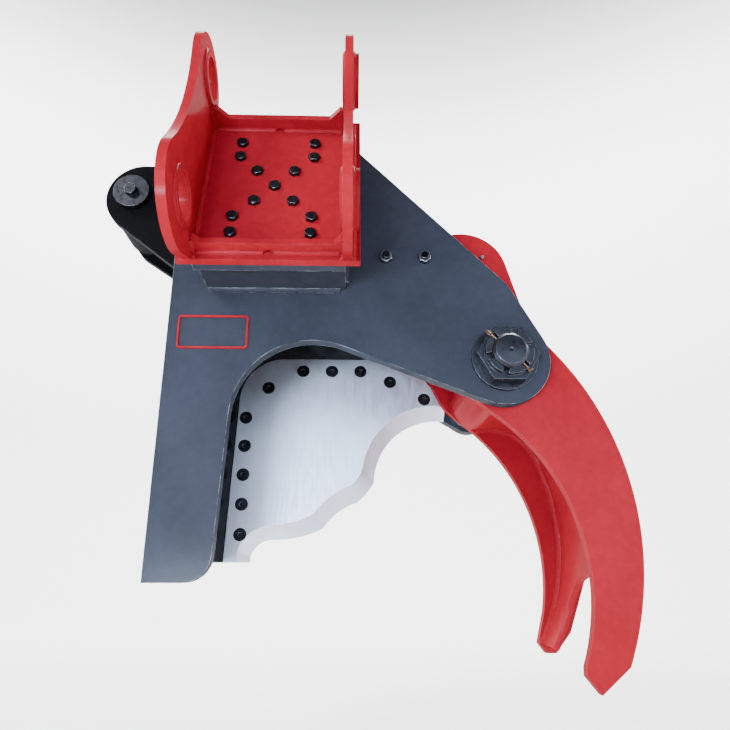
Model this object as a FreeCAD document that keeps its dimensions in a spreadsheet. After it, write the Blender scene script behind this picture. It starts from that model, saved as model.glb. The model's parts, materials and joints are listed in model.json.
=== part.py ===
import FreeCAD, Part
import math
import os
import Sketcher
from FreeCAD import Placement, Rotation, Vector

# Tree shear for an excavator of 8 to 10 tonnes.
# The origin is the middle of the dipper pin bore. +X runs along that bore, +Y from the bracket
# through the side plates, and +Z is up. All sizes are in millimetres and degrees.

SIZES = {
    # dipper bracket: pins, ears and tilted base plate
    "ear_gap": 205.0,
    "ear_thick": 12.5,
    "pin_bore_radius": 30.0,
    "link_pin_height": 277.0,
    "link_pin_setback": 15.0,
    "lower_lug_radius": 72.0,
    "upper_lug_radius": 62.0,
    "ear_waist_radius": 368.0,
    "ear_boss_radius": 38.0,
    "boss_inner_height": 4.0,
    "boss_outer_height": 8.0,
    "bracket_tilt": 15.0,
    "base_distance": 77.0,
    "base_thick": 10.0,
    "base_half_width": 126.0,
    "base_low": -33.0,
    "base_top_drop": 12.0,
    "cross_thick": 10.0,
    "top_cross_drop": 35.6,
    "top_cross_depth": 21.0,
    "bottom_cross_level": -20.0,
    "bottom_cross_depth": 17.5,
    "top_cross_reach": 16.0,
    "bottom_cross_reach": 8.0,
    "drain_radius": 5.0,
    # the thirteen bolts that hold the bracket
    "bolt_pitch": 32.0,
    "bolt_first_row": 16.0,
    "bolt_half_width": 56.0,
    "bolt_half_inner": 28.0,
    "bracket_bolt_radius": 5.0,
    "bracket_head_flats": 16.0,
    "bracket_head_height": 6.4,
    "bolt_clearance": 0.5,
    "thread_clearance": 0.05,
    # wedge adapter between the bracket and the front side plate
    "adapter_thick": 12.0,
    "adapter_half_width": 105.0,
    "adapter_low": -32.0,
    "adapter_top_drop": 25.0,
    "cheek_thick": 15.0,
    "wedge_rib_thick": 12.0,
    "wedge_floor_level": -42.0,
    "wedge_floor_thick": 10.0,
    "wedge_top_level": 205.0,
    # side plates
    "side_plate_front": 175.0,
    "side_plate_thick": 20.0,
    "frame_width": 311.0,
    "pivot_x": 343.0,
    "pivot_z": -152.0,
    "front_nose_radius": 70.0,
    "rear_nose_radius": 46.0,
    "rear_throat_x": 223.0,
    "rear_throat_z": -135.0,
    "mouth_x": 57.0,
    "mouth_z": -244.5,
    "mouth_radius": 120.0,
    "front_tail_level": -474.0,
    "rear_tail_level": -441.0,
    "tail_left": -166.0,
    "tail_toe_x": -112.0,
    "tail_toe_radius": 38.0,
    "plate_left": -160.0,
    "plate_top": 235.0,
    "top_left_radius": 20.0,
    "top_right_x": 95.0,
    "kink_x": 355.0,
    "kink_z": -29.0,
    # webs between the side plates
    "web_thick": 16.0,
    "web_inset": 6.0,
    "web_tail_x": -111.0,
    "web_left_x": -97.0,
    "web_roof_level": -59.5,
    "web_corner_radius": 85.0,
    "web_roof_end": 160.0,
    "web_bend_radius": 60.0,
    "web_end_turn": 68.0,
    "web_front_cut": 60.0,
    "back_web_low": -436.0,
    "back_web_inset": 5.0,
    "window_low": 66.0,
    "window_corner": 12.0,
    "window_lip": 1.0,
    "slope_web_end": 227.0,
    # cylinder lugs, their pin and its keeper
    "lug_pin_x": -261.0,
    "lug_pin_z": 166.0,
    "lug_round_x": -244.0,
    "lug_round_z": 161.0,
    "front_lug_radius": 63.5,
    "rear_lug_radius": 56.0,
    "lug_thick": 15.0,
    "lug_gap": 116.0,
    "front_lug_foot": 10.0,
    "rear_lug_foot": 32.0,
    "lug_foot_high": 222.0,
    "base_pin_radius": 25.0,
    "base_pin_stand": 9.0,
    "keeper_radius": 30.0,
    "keeper_thick": 6.0,
    "keeper_bolt_flats": 19.0,
    "keeper_bolt_height": 7.5,
    "eye_spacer_radius": 38.0,
    "fit_clearance": 0.05,
    # blade with bevelled, scalloped edge
    "blade_thick": 25.0,
    "blade_edge_land": 3.0,
    "blade_end_x": 293.0,
    "blade_end_z": -177.0,
    "blade_nose_z": -152.0,
    "blade_shoulder_x": 257.0,
    "blade_shoulder_z": -103.0,
    "edge_foot_width": 45.0,
    "edge_foot_bevel": 20.0,
    "nose_back_bevel": 5.0,
    "nose_edge_bevel": 20.0,
    "seat_gap": 0.4,
    # countersunk blade screws and their nuts
    "screw_radius": 6.0,
    "screw_head_radius": 12.0,
    "screw_head_depth": 6.5,
    "screw_socket_flats": 8.0,
    "screw_socket_depth": 4.0,
    "screw_clearance": 0.1,
    "screw_tip_stand": 2.0,
    "drill_overrun": 10.0,
    "screw_column_x": -83.0,
    "screw_column_top": -177.0,
    "screw_column_pitch": 54.0,
    "screw_row_z": -84.0,
    "screw_row_start": 22.5,
    "screw_row_pitch": 55.0,
    "blade_nut_flats": 18.0,
    "blade_nut_height": 10.0,
    # main pivot pin, washer, castle nut and cotter
    "pivot_pin_radius": 30.0,
    "pivot_thread_radius": 26.0,
    "pivot_head_radius": 45.0,
    "pivot_head_thick": 12.0,
    "pivot_end_stand": 44.0,
    "pivot_end_chamfer": 4.0,
    "pivot_shoulder_set": 1.0,
    "centre_drill_radius": 3.0,
    "washer_radius": 49.5,
    "washer_thick": 6.0,
    "nut_flats": 80.0,
    "nut_height": 22.0,
    "crown_radius": 35.0,
    "crown_height": 10.0,
    "crown_slot_width": 9.0,
    "cotter_radius": 3.5,
    "cotter_length": 84.0,
    "cotter_turn": 135.0,
    "spacer_radius": 39.0,
    "thrust_gap": 0.3,
    # claw plates
    "claw_side_gap": 2.0,
    "claw_plate_thick": 15.0,
    "claw_hub_radius": 70.0,
    "crank_x": 291.0,
    "crank_z": -1.0,
    "crank_lug_radius": 71.5,
    "inner_arc_x": 150.0,
    "inner_arc_z": -476.0,
    "inner_arc_radius": 304.5,
    "outer_arc_x": 99.0,
    "outer_arc_z": -412.5,
    "outer_arc_radius": 431.5,
    "neck_arc_x": 540.0,
    "neck_arc_z": -9.0,
    "neck_arc_radius": 166.0,
    "rear_lobe_x": 347.0,
    "rear_lobe_z": -116.0,
    "rear_lobe_radius": 73.0,
    "rear_inner_arc_x": 112.5,
    "rear_inner_arc_z": -462.0,
    "rear_inner_arc_radius": 343.5,
    "front_tip_inner_turn": -20.8,
    "front_tip_outer_turn": -23.4,
    "rear_tip_inner_turn": -10.4,
    "rear_tip_outer_turn": -7.6,
    # claw web, hub tube, bushes and crank pin
    "claw_web_x": 120.0,
    "claw_web_z": -406.0,
    "claw_web_radius": 371.0,
    "claw_web_thick": 10.0,
    "claw_web_bend_x": 372.0,
    "claw_web_bend_z": -293.5,
    "claw_web_bend_radius": 96.0,
    "claw_web_tip_turn": -27.8,
    "claw_web_root_turn": -98.0,
    "hub_radius": 42.0,
    "bush_radius": 35.0,
    "bush_length": 60.0,
    "press_clearance": 0.04,
    "crank_pin_x": 295.8,
    "crank_pin_z": -14.9,
    "crank_pin_radius": 22.5,
    "crank_boss_radius": 50.0,
    "crank_web_thick": 12.0,
    "crank_web_low_x": 419.0,
    "crank_web_low_z": -135.0,
    "crank_web_high_x": 387.0,
    "crank_web_high_z": -85.0,
    "nipple_x": 323.0,
    "nipple_z": 28.0,
    "nipple_radius": 4.0,
    "nipple_height": 5.0,
    # hydraulic cylinder
    "barrel_radius": 55.0,
    "bore_radius": 45.0,
    "barrel_start": 68.0,
    "barrel_end": 398.0,
    "barrel_base_thick": 16.0,
    "barrel_neck_radius": 40.0,
    "base_eye_radius": 48.0,
    "base_bush_radius": 30.0,
    "eye_width": 90.0,
    "gland_radius": 51.0,
    "gland_collar": 12.0,
    "gland_insert": 34.0,
    "rod_radius": 25.0,
    "rod_spigot_radius": 18.0,
    "rod_spigot_start": 96.0,
    "piston_start": 110.0,
    "piston_length": 36.0,
    "piston_nut_flats": 50.0,
    "piston_nut_height": 12.0,
    "rod_eye_radius": 57.0,
    "rod_eye_bore": 40.0,
    "rod_eye_lift": 8.0,
    "eye_side_gap": 0.5,
    "port_radius": 16.0,
    "port_bore_radius": 9.5,
    "port_height": 12.0,
    "base_port_x": 96.0,
    "rod_port_x": 350.0,
    # two studs with nuts in the front side plate
    "stud_radius": 6.0,
    "stud_stand": 14.0,
    "stud_nut_height": 10.0,
    "stud_nut_flats": 18.0,
    "stud_first_x": 167.0,
    "stud_pitch": 60.0,
    "stud_z": 13.0,
}

# Cutting edge: the end of each lobe, how far the arc before it bulges out, and the bevel's reach
EDGE_LOBES = (
    ((-65.7, -432.0), 0.0, (-20.0, 10.0)),
    ((-23.7, -400.7), -9.5, (-12.0, 24.0)),
    ((63.7, -381.0), 5.5, (-16.0, 25.0)),
    ((127.8, -332.7), -7.0, (-10.0, 30.0)),
    ((158.5, -296.0), 2.0, (-22.0, 23.0)),
    ((279.6, -177.0), -35.0, (-4.0, 25.0)),
)
# Corners of each claw tip, from the end of the plate's inner arc
FRONT_TIP = ((0.0, 0.0), (-0.5, -12.0), (18.0, -35.0))
REAR_TIP = ((0.0, 0.0), (-13.5, -50.8), (-1.5, -67.0), (16.0, -67.0), (43.5, -33.5))
# Screws at the corner and on the slope of the blade
CORNER_SCREWS = ((-43.0, -118.0), (189.0, -105.0), (254.0, -139.0))

doc = FreeCAD.newDocument("TreeShear")
sheet = doc.addObject("Spreadsheet::Sheet", "Sizes")
for row, (alias, number) in enumerate(SIZES.items(), start=1):
    sheet.set(f"A{row}", alias)
    sheet.set(f"B{row}", str(number))
    sheet.setAlias(f"B{row}", alias)
doc.recompute()


class Size(float):
    """A number worked out from the sheet, with the formula that gives it."""

    def __new__(cls, number, formula):
        size = super().__new__(cls, number)
        size.formula = formula
        return size

    def __add__(self, other):
        return Size(float(self) + float(other), f"({self.formula} + {formula_of(other)})")

    def __sub__(self, other):
        return Size(float(self) - float(other), f"({self.formula} - {formula_of(other)})")

    def __mul__(self, other):
        return Size(float(self) * float(other), f"({self.formula} * {formula_of(other)})")

    def __truediv__(self, other):
        return Size(float(self) / float(other), f"({self.formula} / {formula_of(other)})")

    def __neg__(self):
        return Size(-float(self), f"(-{self.formula})")


def formula_of(number):
    """The formula of a size, or a plain number as text."""
    if isinstance(number, Size):
        return number.formula
    return repr(float(number))


class Dimensions:
    """Every alias of the sheet, as a size."""

    def __getattr__(self, alias):
        return Size(float(getattr(sheet, alias)), f"Sizes.{alias}")


d = Dimensions()
NODES = []
# Points of an outline that are nearer than this are one point
SAME_POINT = 0.001


def node(thing, name):
    """Names a finished sub-part, which is then written under that name."""
    thing.Label = name
    NODES.append(thing)
    return thing


# Outlines of lines and arcs

def wrap(circles, closed=True):
    """Edges around (x, z, radius) circles, taken counter-clockwise.

    A positive radius bulges outwards, a negative one hollows the outline, and zero is a corner.
    """
    count = len(circles)
    joints = []
    for i in range(count):
        x1, z1, r1 = circles[i]
        x2, z2, r2 = circles[(i + 1) % count]
        apart = math.hypot(x2 - x1, z2 - z1)
        swing = max(-1.0, min(1.0, (r1 - r2) / apart))
        heading = math.atan2(z2 - z1, x2 - x1) + math.asin(swing)
        normal = Vector(-math.sin(heading), math.cos(heading), 0)
        leave = Vector(x1, z1, 0) - normal * float(r1)
        arrive = Vector(x2, z2, 0) - normal * float(r2)
        if (arrive - leave).Length < SAME_POINT:
            corner = arrive if r1 else leave
            leave = corner
            arrive = corner
        joints.append((leave, arrive))
    edges = []
    for i in range(count):
        x, z, radius = circles[i]
        leave, arrive_next = joints[i]
        if radius:
            edges.append(turn_about(Vector(x, z, 0), radius, joints[i - 1][1], leave))
        last_open = not closed and i == count - 1
        if not last_open and (arrive_next - leave).Length > SAME_POINT:
            edges.append(Part.LineSegment(leave, arrive_next))
    return [edge for edge in edges if edge]


def turn_about(centre, radius, start, end):
    """Arc from start to end about a centre, counter-clockwise when the radius is positive."""
    if (end - start).Length < SAME_POINT:
        return None
    first = math.atan2(start.y - centre.y, start.x - centre.x)
    last = math.atan2(end.y - centre.y, end.x - centre.x)
    if radius > 0:
        turn = (last - first) % (2 * math.pi)
    else:
        turn = -((first - last) % (2 * math.pi))
    middle = first + turn / 2
    via = centre + Vector(math.cos(middle), math.sin(middle), 0) * abs(float(radius))
    return Part.Arc(start, via, end)


def straight(points):
    """Closed outline of straight lines."""
    corners = [Vector(x, z, 0) for x, z in points]
    return [Part.LineSegment(a, b) for a, b in zip(corners, corners[1:] + corners[:1])]


def strip(points, inset, thick):
    """Closed outline of a bent plate that runs beside a line of points, on its left."""
    near = beside(points, inset)
    far = beside(points, inset + thick)
    return straight(near + far[::-1])


def beside(points, reach):
    """Line of points moved to its left by a reach, with mitred corners."""
    vectors = [Vector(x, z, 0) for x, z in points]
    normals = []
    for a, b in zip(vectors, vectors[1:]):
        along = (b - a).normalize()
        normals.append(Vector(-along.y, along.x, 0))
    moved = []
    for i, point in enumerate(vectors):
        before = normals[max(i - 1, 0)]
        after = normals[min(i, len(normals) - 1)]
        mitre = (before + after) / (1 + before.dot(after))
        shifted = point + mitre * float(reach)
        moved.append((shifted.x, shifted.y))
    return moved


def polar(x, z, reach, degrees):
    """Point at a reach and direction from (x, z)."""
    turn = math.radians(degrees)
    return (x + reach * math.cos(turn), z + reach * math.sin(turn))


def touching(first, second, radius):
    """Centre of a circle that touches two others from outside, left of the line between them."""
    x1, z1, r1 = first
    x2, z2, r2 = second
    apart = math.hypot(x2 - x1, z2 - z1)
    reach_first = r1 + radius
    reach_second = r2 + radius
    along = (reach_first ** 2 - reach_second ** 2 + apart ** 2) / (2 * apart)
    aside = math.sqrt(reach_first ** 2 - along ** 2)
    ux = (x2 - x1) / apart
    uz = (z2 - z1) / apart
    return (x1 + ux * along - uz * aside, z1 + uz * along + ux * aside)


# Bodies: plates, rings, turned parts and fasteners

def new_body(name, place=None):
    """An empty body, at the origin or in a frame of its own."""
    body = doc.addObject("PartDesign::Body", name)
    if place:
        body.Placement = place
    return body


def sketch_in(body, role, name, offset):
    """A sketch parallel to one of the body's origin planes, at an offset along its normal."""
    sketch = body.newObject("Sketcher::SketchObject", name)
    plane = [feature for feature in body.Origin.OriginFeatures if feature.Role == role][0]
    sketch.AttachmentSupport = [(plane, "")]
    sketch.MapMode = "FlatFace"
    sketch.AttachmentOffset = Placement(Vector(0, 0, float(offset)), Rotation())
    sketch.setExpression(".AttachmentOffset.Base.z", formula_of(offset))
    return sketch


def circle_in(sketch, x, z, radius):
    """A circle whose radius is bound to the sheet."""
    place = sketch.addGeometry(Part.Circle(Vector(x, z, 0), Vector(0, 0, 1), float(radius)), False)
    bond = sketch.addConstraint(Sketcher.Constraint("Radius", place, float(radius)))
    sketch.setExpression(f"Constraints[{bond}]", formula_of(radius))


def pad(body, sketch, length):
    """A pad of the sketch along its normal."""
    feature = body.newObject("PartDesign::Pad", f"{body.Name}_pad")
    feature.Profile = sketch
    feature.Length = float(length)
    feature.setExpression("Length", formula_of(length))
    sketch.Visibility = False
    return feature


def plate_y(name, outline, front, thick, holes=(), place=None):
    """Flat plate across Y from its front face, with round holes of (x, z, radius)."""
    body = new_body(name, place)
    sketch = sketch_in(body, "XZ_Plane", f"{name}_sketch", -(front + thick))
    sketch.addGeometry(outline, False)
    for x, z, radius in holes:
        circle_in(sketch, x, z, radius)
    pad(body, sketch, thick)
    return body


def plate_x(name, outline, left, thick, holes=(), place=None):
    """Flat plate across X from its left face, drawn in Y and Z."""
    body = new_body(name, place)
    sketch = sketch_in(body, "YZ_Plane", f"{name}_sketch", left)
    sketch.addGeometry(outline, False)
    for y, z, radius in holes:
        circle_in(sketch, y, z, radius)
    pad(body, sketch, thick)
    return body


def ring_y(name, x, z, front, length, outer, inner, place=None):
    """Ring about an axis along Y."""
    body = new_body(name, place)
    sketch = sketch_in(body, "XZ_Plane", f"{name}_sketch", -(front + length))
    circle_in(sketch, x, z, outer)
    if inner:
        circle_in(sketch, x, z, inner)
    pad(body, sketch, length)
    return body


def turned(name, profile, place, axis="V_Axis"):
    """Turned part: a half profile revolved about the body's own Y or X axis."""
    body = new_body(name, place)
    sketch = sketch_in(body, "XY_Plane", f"{name}_sketch", Size(0.0, "0"))
    sketch.addGeometry(straight(profile), False)
    feature = body.newObject("PartDesign::Revolution", f"{name}_turn")
    feature.Profile = sketch
    feature.ReferenceAxis = (sketch, [axis])
    feature.Angle = 360
    sketch.Visibility = False
    return body


def bar(name, radius, length, place):
    """Round bar along the Z axis of its own placement."""
    cylinder = doc.addObject("Part::Cylinder", name)
    cylinder.Radius = float(radius)
    cylinder.Height = float(length)
    cylinder.setExpression("Radius", formula_of(radius))
    cylinder.setExpression("Height", formula_of(length))
    cylinder.Placement = place
    return cylinder


def hex_bar(name, flats, length, place):
    """Hexagon bar along the Z axis of its own placement."""
    prism = doc.addObject("Part::Prism", name)
    prism.Polygon = 6
    prism.Circumradius = float(flats) / math.sqrt(3)
    prism.Height = float(length)
    prism.setExpression("Circumradius", f"{formula_of(flats)} / sqrt(3)")
    prism.setExpression("Height", formula_of(length))
    prism.Placement = place
    return prism


def joined(name, pieces):
    """One solid out of overlapping primitives."""
    fuse = doc.addObject("Part::MultiFuse", name)
    fuse.Shapes = pieces
    return fuse


def cut_from(name, base, tool):
    """A piece with a tool taken away."""
    cut = doc.addObject("Part::Cut", f"{name}_cut")
    cut.Base = base
    cut.Tool = tool
    return cut


def copies(name, pattern, places):
    """Group of separate copies of one finished piece."""
    doc.recompute()
    group = doc.addObject("Part::Feature", name)
    shapes = [pattern.Shape.copy().transformed(place.toMatrix(), True) for place in places]
    group.Shape = Part.makeCompound(shapes)
    return group


ALONG_Y = Rotation(Vector(1, 0, 0), -90)
AGAINST_Y = Rotation(Vector(1, 0, 0), 90)
ALONG_X = Rotation(Vector(0, 1, 0), 90)
DOWNWARD = Rotation(Vector(1, 0, 0), 180)
TILTED = Placement(Vector(0, 0, 0), Rotation(Vector(1, 0, 0), -float(d.bracket_tilt)))
DIPPER_PIN = Vector(0, 0, 0)
LINK_PIN = Vector(0, float(d.link_pin_setback), float(d.link_pin_height))

# Places across the frame, from front to rear
plate_back = d.side_plate_front + d.side_plate_thick
rear_back = d.side_plate_front + d.frame_width
rear_front = rear_back - d.side_plate_thick
blade_front = rear_front - d.blade_thick
claw_front = plate_back + d.claw_side_gap
claw_back = blade_front - d.claw_side_gap
claw_inner_front = claw_front + d.claw_plate_thick
claw_inner_back = claw_back - d.claw_plate_thick
middle_y = (claw_front + claw_back) / 2
frame_gap = rear_front - plate_back


# Dipper bracket, drawn in its own frame, which leans back about the dipper pin

def ear_outline():
    """Ear from the dipper lug up to the link lug, with a hollow front edge."""
    lower = (0.0, 0.0, d.lower_lug_radius)
    upper = (d.link_pin_setback, d.link_pin_height, d.upper_lug_radius)
    waist_y, waist_z = touching(lower, upper, d.ear_waist_radius)
    waist = (waist_y, waist_z, -d.ear_waist_radius)
    foot = (d.base_distance, d.base_low, 0.0)
    return wrap([lower, foot, upper, waist])


def make_ears():
    """Left and right ears with both pin bores."""
    bores = ((0.0, 0.0, d.pin_bore_radius), (d.link_pin_setback, d.link_pin_height, d.pin_bore_radius))
    left = -(d.ear_gap / 2 + d.ear_thick)
    node(plate_x("left_ear", ear_outline(), left, d.ear_thick, bores, TILTED), "left_ear")
    node(plate_x("right_ear", ear_outline(), d.ear_gap / 2, d.ear_thick, bores, TILTED), "right_ear")


def make_ear_bosses():
    """Rings about both bores, on the inner and the outer face of each ear."""
    inner = ring_y("boss_inner", 0.0, 0.0, Size(0.0, "0"), d.boss_inner_height, d.ear_boss_radius,
                   d.pin_bore_radius)
    outer = ring_y("boss_outer", 0.0, 0.0, Size(0.0, "0"), d.boss_outer_height, d.ear_boss_radius,
                   d.pin_bore_radius)
    face_in = float(d.ear_gap) / 2
    face_out = face_in + float(d.ear_thick)
    to_right = Rotation(Vector(0, 0, 1), -90)
    to_left = Rotation(Vector(0, 0, 1), 90)
    for name, pin in (("dipper_ear_bosses", DIPPER_PIN), ("link_ear_bosses", LINK_PIN)):
        rings_out = [
            TILTED * Placement(pin + Vector(face_out, 0, 0), to_right),
            TILTED * Placement(pin - Vector(face_out, 0, 0), to_left),
        ]
        rings_in = [
            TILTED * Placement(pin + Vector(face_in, 0, 0), to_left),
            TILTED * Placement(pin - Vector(face_in, 0, 0), to_right),
        ]
        outer_group = copies(f"{name}_outer", outer, rings_out)
        inner_group = copies(f"{name}_inner", inner, rings_in)
        both = doc.addObject("Part::Compound", name)
        both.Links = [outer_group, inner_group]
        node(both, name)


def bracket_bolt_places():
    """Middle of each bracket bolt, as (x, height) on the tilted plate: an X of seven rows."""
    outer = float(d.bolt_half_width)
    inner = float(d.bolt_half_inner)
    rows = (outer, outer, inner, 0.0, inner, outer, outer)
    places = []
    for row, half in enumerate(rows):
        height = float(d.bolt_first_row) + row * float(d.bolt_pitch)
        for x in sorted({-half, half}):
            places.append((x, height))
    return places


def make_base_plate():
    """Tilted plate that carries the ears, drilled for the bracket bolts."""
    half = d.base_half_width
    low = d.base_low
    high = d.link_pin_height - d.base_top_drop
    outline = straight(((-half, low), (half, low), (half, high), (-half, high)))
    hole = d.bracket_bolt_radius + d.bolt_clearance
    holes = [(x, z, hole) for x, z in bracket_bolt_places()]
    node(plate_y("bracket_base_plate", outline, d.base_distance, d.base_thick, holes, TILTED),
         "bracket_base_plate")


def make_cross_plate(name, level, depth, end_reach, pin):
    """Plate between the ears, deeper beside them, coped around the inner bosses of one pin.

    Its root has a half-round drain hole.
    """
    body = new_body(f"{name}_blank", TILTED)
    sketch = sketch_in(body, "XY_Plane", f"{name}_sketch", level)
    half = float(d.ear_gap) / 2
    root = float(d.base_distance)
    edge = root - float(depth)
    reach = float(end_reach)
    drain = float(d.drain_radius)
    right = [(drain, root), (half, root), (half, edge - reach), (half - reach / 2, edge - reach),
             (half - reach * 1.5, edge)]
    left = [(-x, y) for x, y in right[::-1]]
    corners = [Vector(x, y, 0) for x, y in right + left]
    sketch.addGeometry([Part.LineSegment(a, b) for a, b in zip(corners, corners[1:])], False)
    sketch.addGeometry(Part.Arc(corners[-1], Vector(0, root - drain, 0), corners[0]), False)
    pad(body, sketch, d.cross_thick)
    height = d.boss_inner_height + d.seat_gap
    starts = (-half, half - float(height))
    copes = [bar(f"{name}_cope_{i}", d.ear_boss_radius + d.seat_gap, height,
                 TILTED * Placement(pin + Vector(x, 0, 0), ALONG_X)) for i, x in enumerate(starts)]
    tool = doc.addObject("Part::Compound", f"{name}_copes")
    tool.Links = copes
    node(cut_from(name, body, tool), name)


def make_bracket_bolts():
    """Hexagon bolts through the base plate into the adapter plate."""
    face = Vector(0, float(d.base_distance), 0)
    head = hex_bar("bolt_head", d.bracket_head_flats, d.bracket_head_height, Placement(face, AGAINST_Y))
    length = d.base_thick + d.adapter_thick
    shank = bar("bolt_shank", d.bracket_bolt_radius, length, Placement(face, ALONG_Y))
    bolt = joined("bracket_bolt", [head, shank])
    places = [TILTED * Placement(Vector(x, 0, z), Rotation()) for x, z in bracket_bolt_places()]
    node(copies("bracket_bolts", bolt, places), "bracket_bolts")


# Wedge adapter: a tilted plate with threads, two cheeks, a rib and a floor

def make_adapter():
    """Tilted adapter plate and the wedge that carries it on the front side plate."""
    half = d.adapter_half_width
    low = d.adapter_low
    high = d.link_pin_height - d.adapter_top_drop
    outline = straight(((-half, low), (half, low), (half, high), (-half, high)))
    thread = d.bracket_bolt_radius + d.thread_clearance
    holes = [(x, z, thread) for x, z in bracket_bolt_places()]
    front = d.base_distance + d.base_thick
    node(plate_y("adapter_plate", outline, front, d.adapter_thick, holes, TILTED), "adapter_plate")
    back = float(front + d.adapter_thick)
    lean = math.radians(float(d.bracket_tilt))

    def back_face(z):
        return ((back + z * math.sin(lean)) / math.cos(lean), z)

    wall = d.side_plate_front
    floor_top = d.wedge_floor_level + d.wedge_floor_thick
    top = d.wedge_top_level
    cheek = straight((back_face(floor_top), (wall, floor_top), (wall, top), back_face(top)))
    node(plate_x("left_wedge_cheek", cheek, -half, d.cheek_thick), "left_wedge_cheek")
    node(plate_x("right_wedge_cheek", cheek, half - d.cheek_thick, d.cheek_thick), "right_wedge_cheek")
    rib_left = -(d.wedge_rib_thick / 2)
    node(plate_x("wedge_rib", cheek, rib_left, d.wedge_rib_thick), "wedge_rib")
    level = d.wedge_floor_level
    floor = straight((back_face(level), (wall, level), (wall, floor_top), back_face(floor_top)))
    node(plate_x("wedge_floor", floor, -half, half * 2), "wedge_floor")


# Side plates

def side_outline(nose_radius, tail_level, throat=()):
    """Side plate around the tree mouth, from the tail to the nose at the main pivot."""
    return wrap([
        (d.tail_left, tail_level, 0.0),
        (d.tail_toe_x, tail_level + d.tail_toe_radius, d.tail_toe_radius),
        (d.mouth_x, d.mouth_z, -d.mouth_radius),
        *throat,
        (d.pivot_x, d.pivot_z, nose_radius),
        (d.kink_x, d.kink_z, 0.0),
        (d.top_right_x, d.plate_top, 0.0),
        (d.plate_left + d.top_left_radius, d.plate_top - d.top_left_radius, d.top_left_radius),
        (d.plate_left, 0.0, 0.0),
    ])


def stud_places():
    """Middle of the two studs in the front side plate."""
    first = float(d.stud_first_x)
    return [(first, float(d.stud_z)), (first + float(d.stud_pitch), float(d.stud_z))]


def blade_screw_places():
    """Middle of the eleven blade screws: a column, a row and three more."""
    column = [(float(d.screw_column_x), float(d.screw_column_top) - i * float(d.screw_column_pitch))
              for i in range(5)]
    along = [(float(d.screw_row_start) + i * float(d.screw_row_pitch), float(d.screw_row_z))
             for i in range(3)]
    return column + along + list(CORNER_SCREWS)


def make_side_plates():
    """Front and rear side plates with their holes."""
    pivot = (d.pivot_x, d.pivot_z, d.pivot_pin_radius + d.fit_clearance)
    stud = d.stud_radius + d.thread_clearance
    front_holes = [pivot] + [(x, z, stud) for x, z in stud_places()]
    front = side_outline(d.front_nose_radius, d.front_tail_level)
    node(plate_y("front_side_plate", front, d.side_plate_front, d.side_plate_thick, front_holes),
         "front_side_plate")
    screw = d.screw_radius + d.bolt_clearance
    rear_holes = [pivot] + [(x, z, screw) for x, z in blade_screw_places()]
    throat = [(d.rear_throat_x, d.rear_throat_z, 0.0)]
    rear = side_outline(d.rear_nose_radius, d.rear_tail_level, throat)
    node(plate_y("rear_side_plate", rear, rear_front, d.side_plate_thick, rear_holes), "rear_side_plate")


# Webs between the side plates

def mouth_line(reach):
    """The two round corners of the mouth web's line, for a face that lies a reach outside it."""
    corner = (d.web_left_x + d.web_corner_radius, d.web_roof_level - d.web_corner_radius,
              d.web_corner_radius + reach)
    bend = (d.web_roof_end, d.web_roof_level - d.web_bend_radius, d.web_bend_radius + reach)
    return corner, bend


def make_mouth_web():
    """Bent plate that lines the mouth and seats the blade's back edge."""
    inner_corner, inner_bend = mouth_line(0.0)
    outer_corner, outer_bend = mouth_line(d.web_thick)
    end_in = polar(*inner_bend, float(d.web_end_turn))
    end_out = polar(*outer_bend, float(d.web_end_turn))
    tail = d.rear_tail_level
    outline = wrap([
        (d.web_tail_x, tail, 0.0),
        (inner_corner[0], inner_corner[1], -inner_corner[2]),
        (inner_bend[0], inner_bend[1], -inner_bend[2]),
        (end_in[0], end_in[1], 0.0),
        (end_out[0], end_out[1], 0.0),
        outer_bend,
        outer_corner,
        (d.web_tail_x - d.web_thick, tail, 0.0),
    ])
    body = plate_y("mouth_web", outline, plate_back, frame_gap)
    sketch = sketch_in(body, "YZ_Plane", "mouth_web_cut_sketch", Size(0.0, "0"))
    circle_in(sketch, plate_back, tail, d.web_front_cut)
    pocket = body.newObject("PartDesign::Pocket", "mouth_web_cut")
    pocket.Profile = sketch
    pocket.Type = "ThroughAll"
    pocket.Midplane = True
    node(body, "mouth_web")


def make_back_web():
    """Plate across the back of the frame, slotted from the top for the cylinder."""
    left = d.plate_left + d.back_web_inset
    front = plate_back
    rear = rear_front
    top = d.plate_top - d.web_inset - d.web_thick
    half = d.lug_gap / 2 - d.window_lip
    low = d.window_low
    corner = d.window_corner
    outline = wrap([
        (front, d.back_web_low, 0.0),
        (rear, d.back_web_low, 0.0),
        (rear, top, 0.0),
        (middle_y + half, top, 0.0),
        (middle_y + half - corner, low + corner, -corner),
        (middle_y - half + corner, low + corner, -corner),
        (middle_y - half, top, 0.0),
        (front, top, 0.0),
    ])
    node(plate_x("back_web", outline, left, d.web_thick), "back_web")


def make_top_web():
    """Bent plate under the top edge of the side plates, down the slope to the crank opening."""
    slope = (d.plate_top - d.kink_z) / (d.kink_x - d.top_right_x)
    end = (d.slope_web_end, d.plate_top - (d.slope_web_end - d.top_right_x) * slope)
    line = [end, (d.top_right_x, d.plate_top), (d.plate_left + d.web_inset, d.plate_top)]
    node(plate_y("top_web", strip(line, d.web_inset, d.web_thick), plate_back, frame_gap), "top_web")


# Cylinder lugs and base pin

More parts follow.
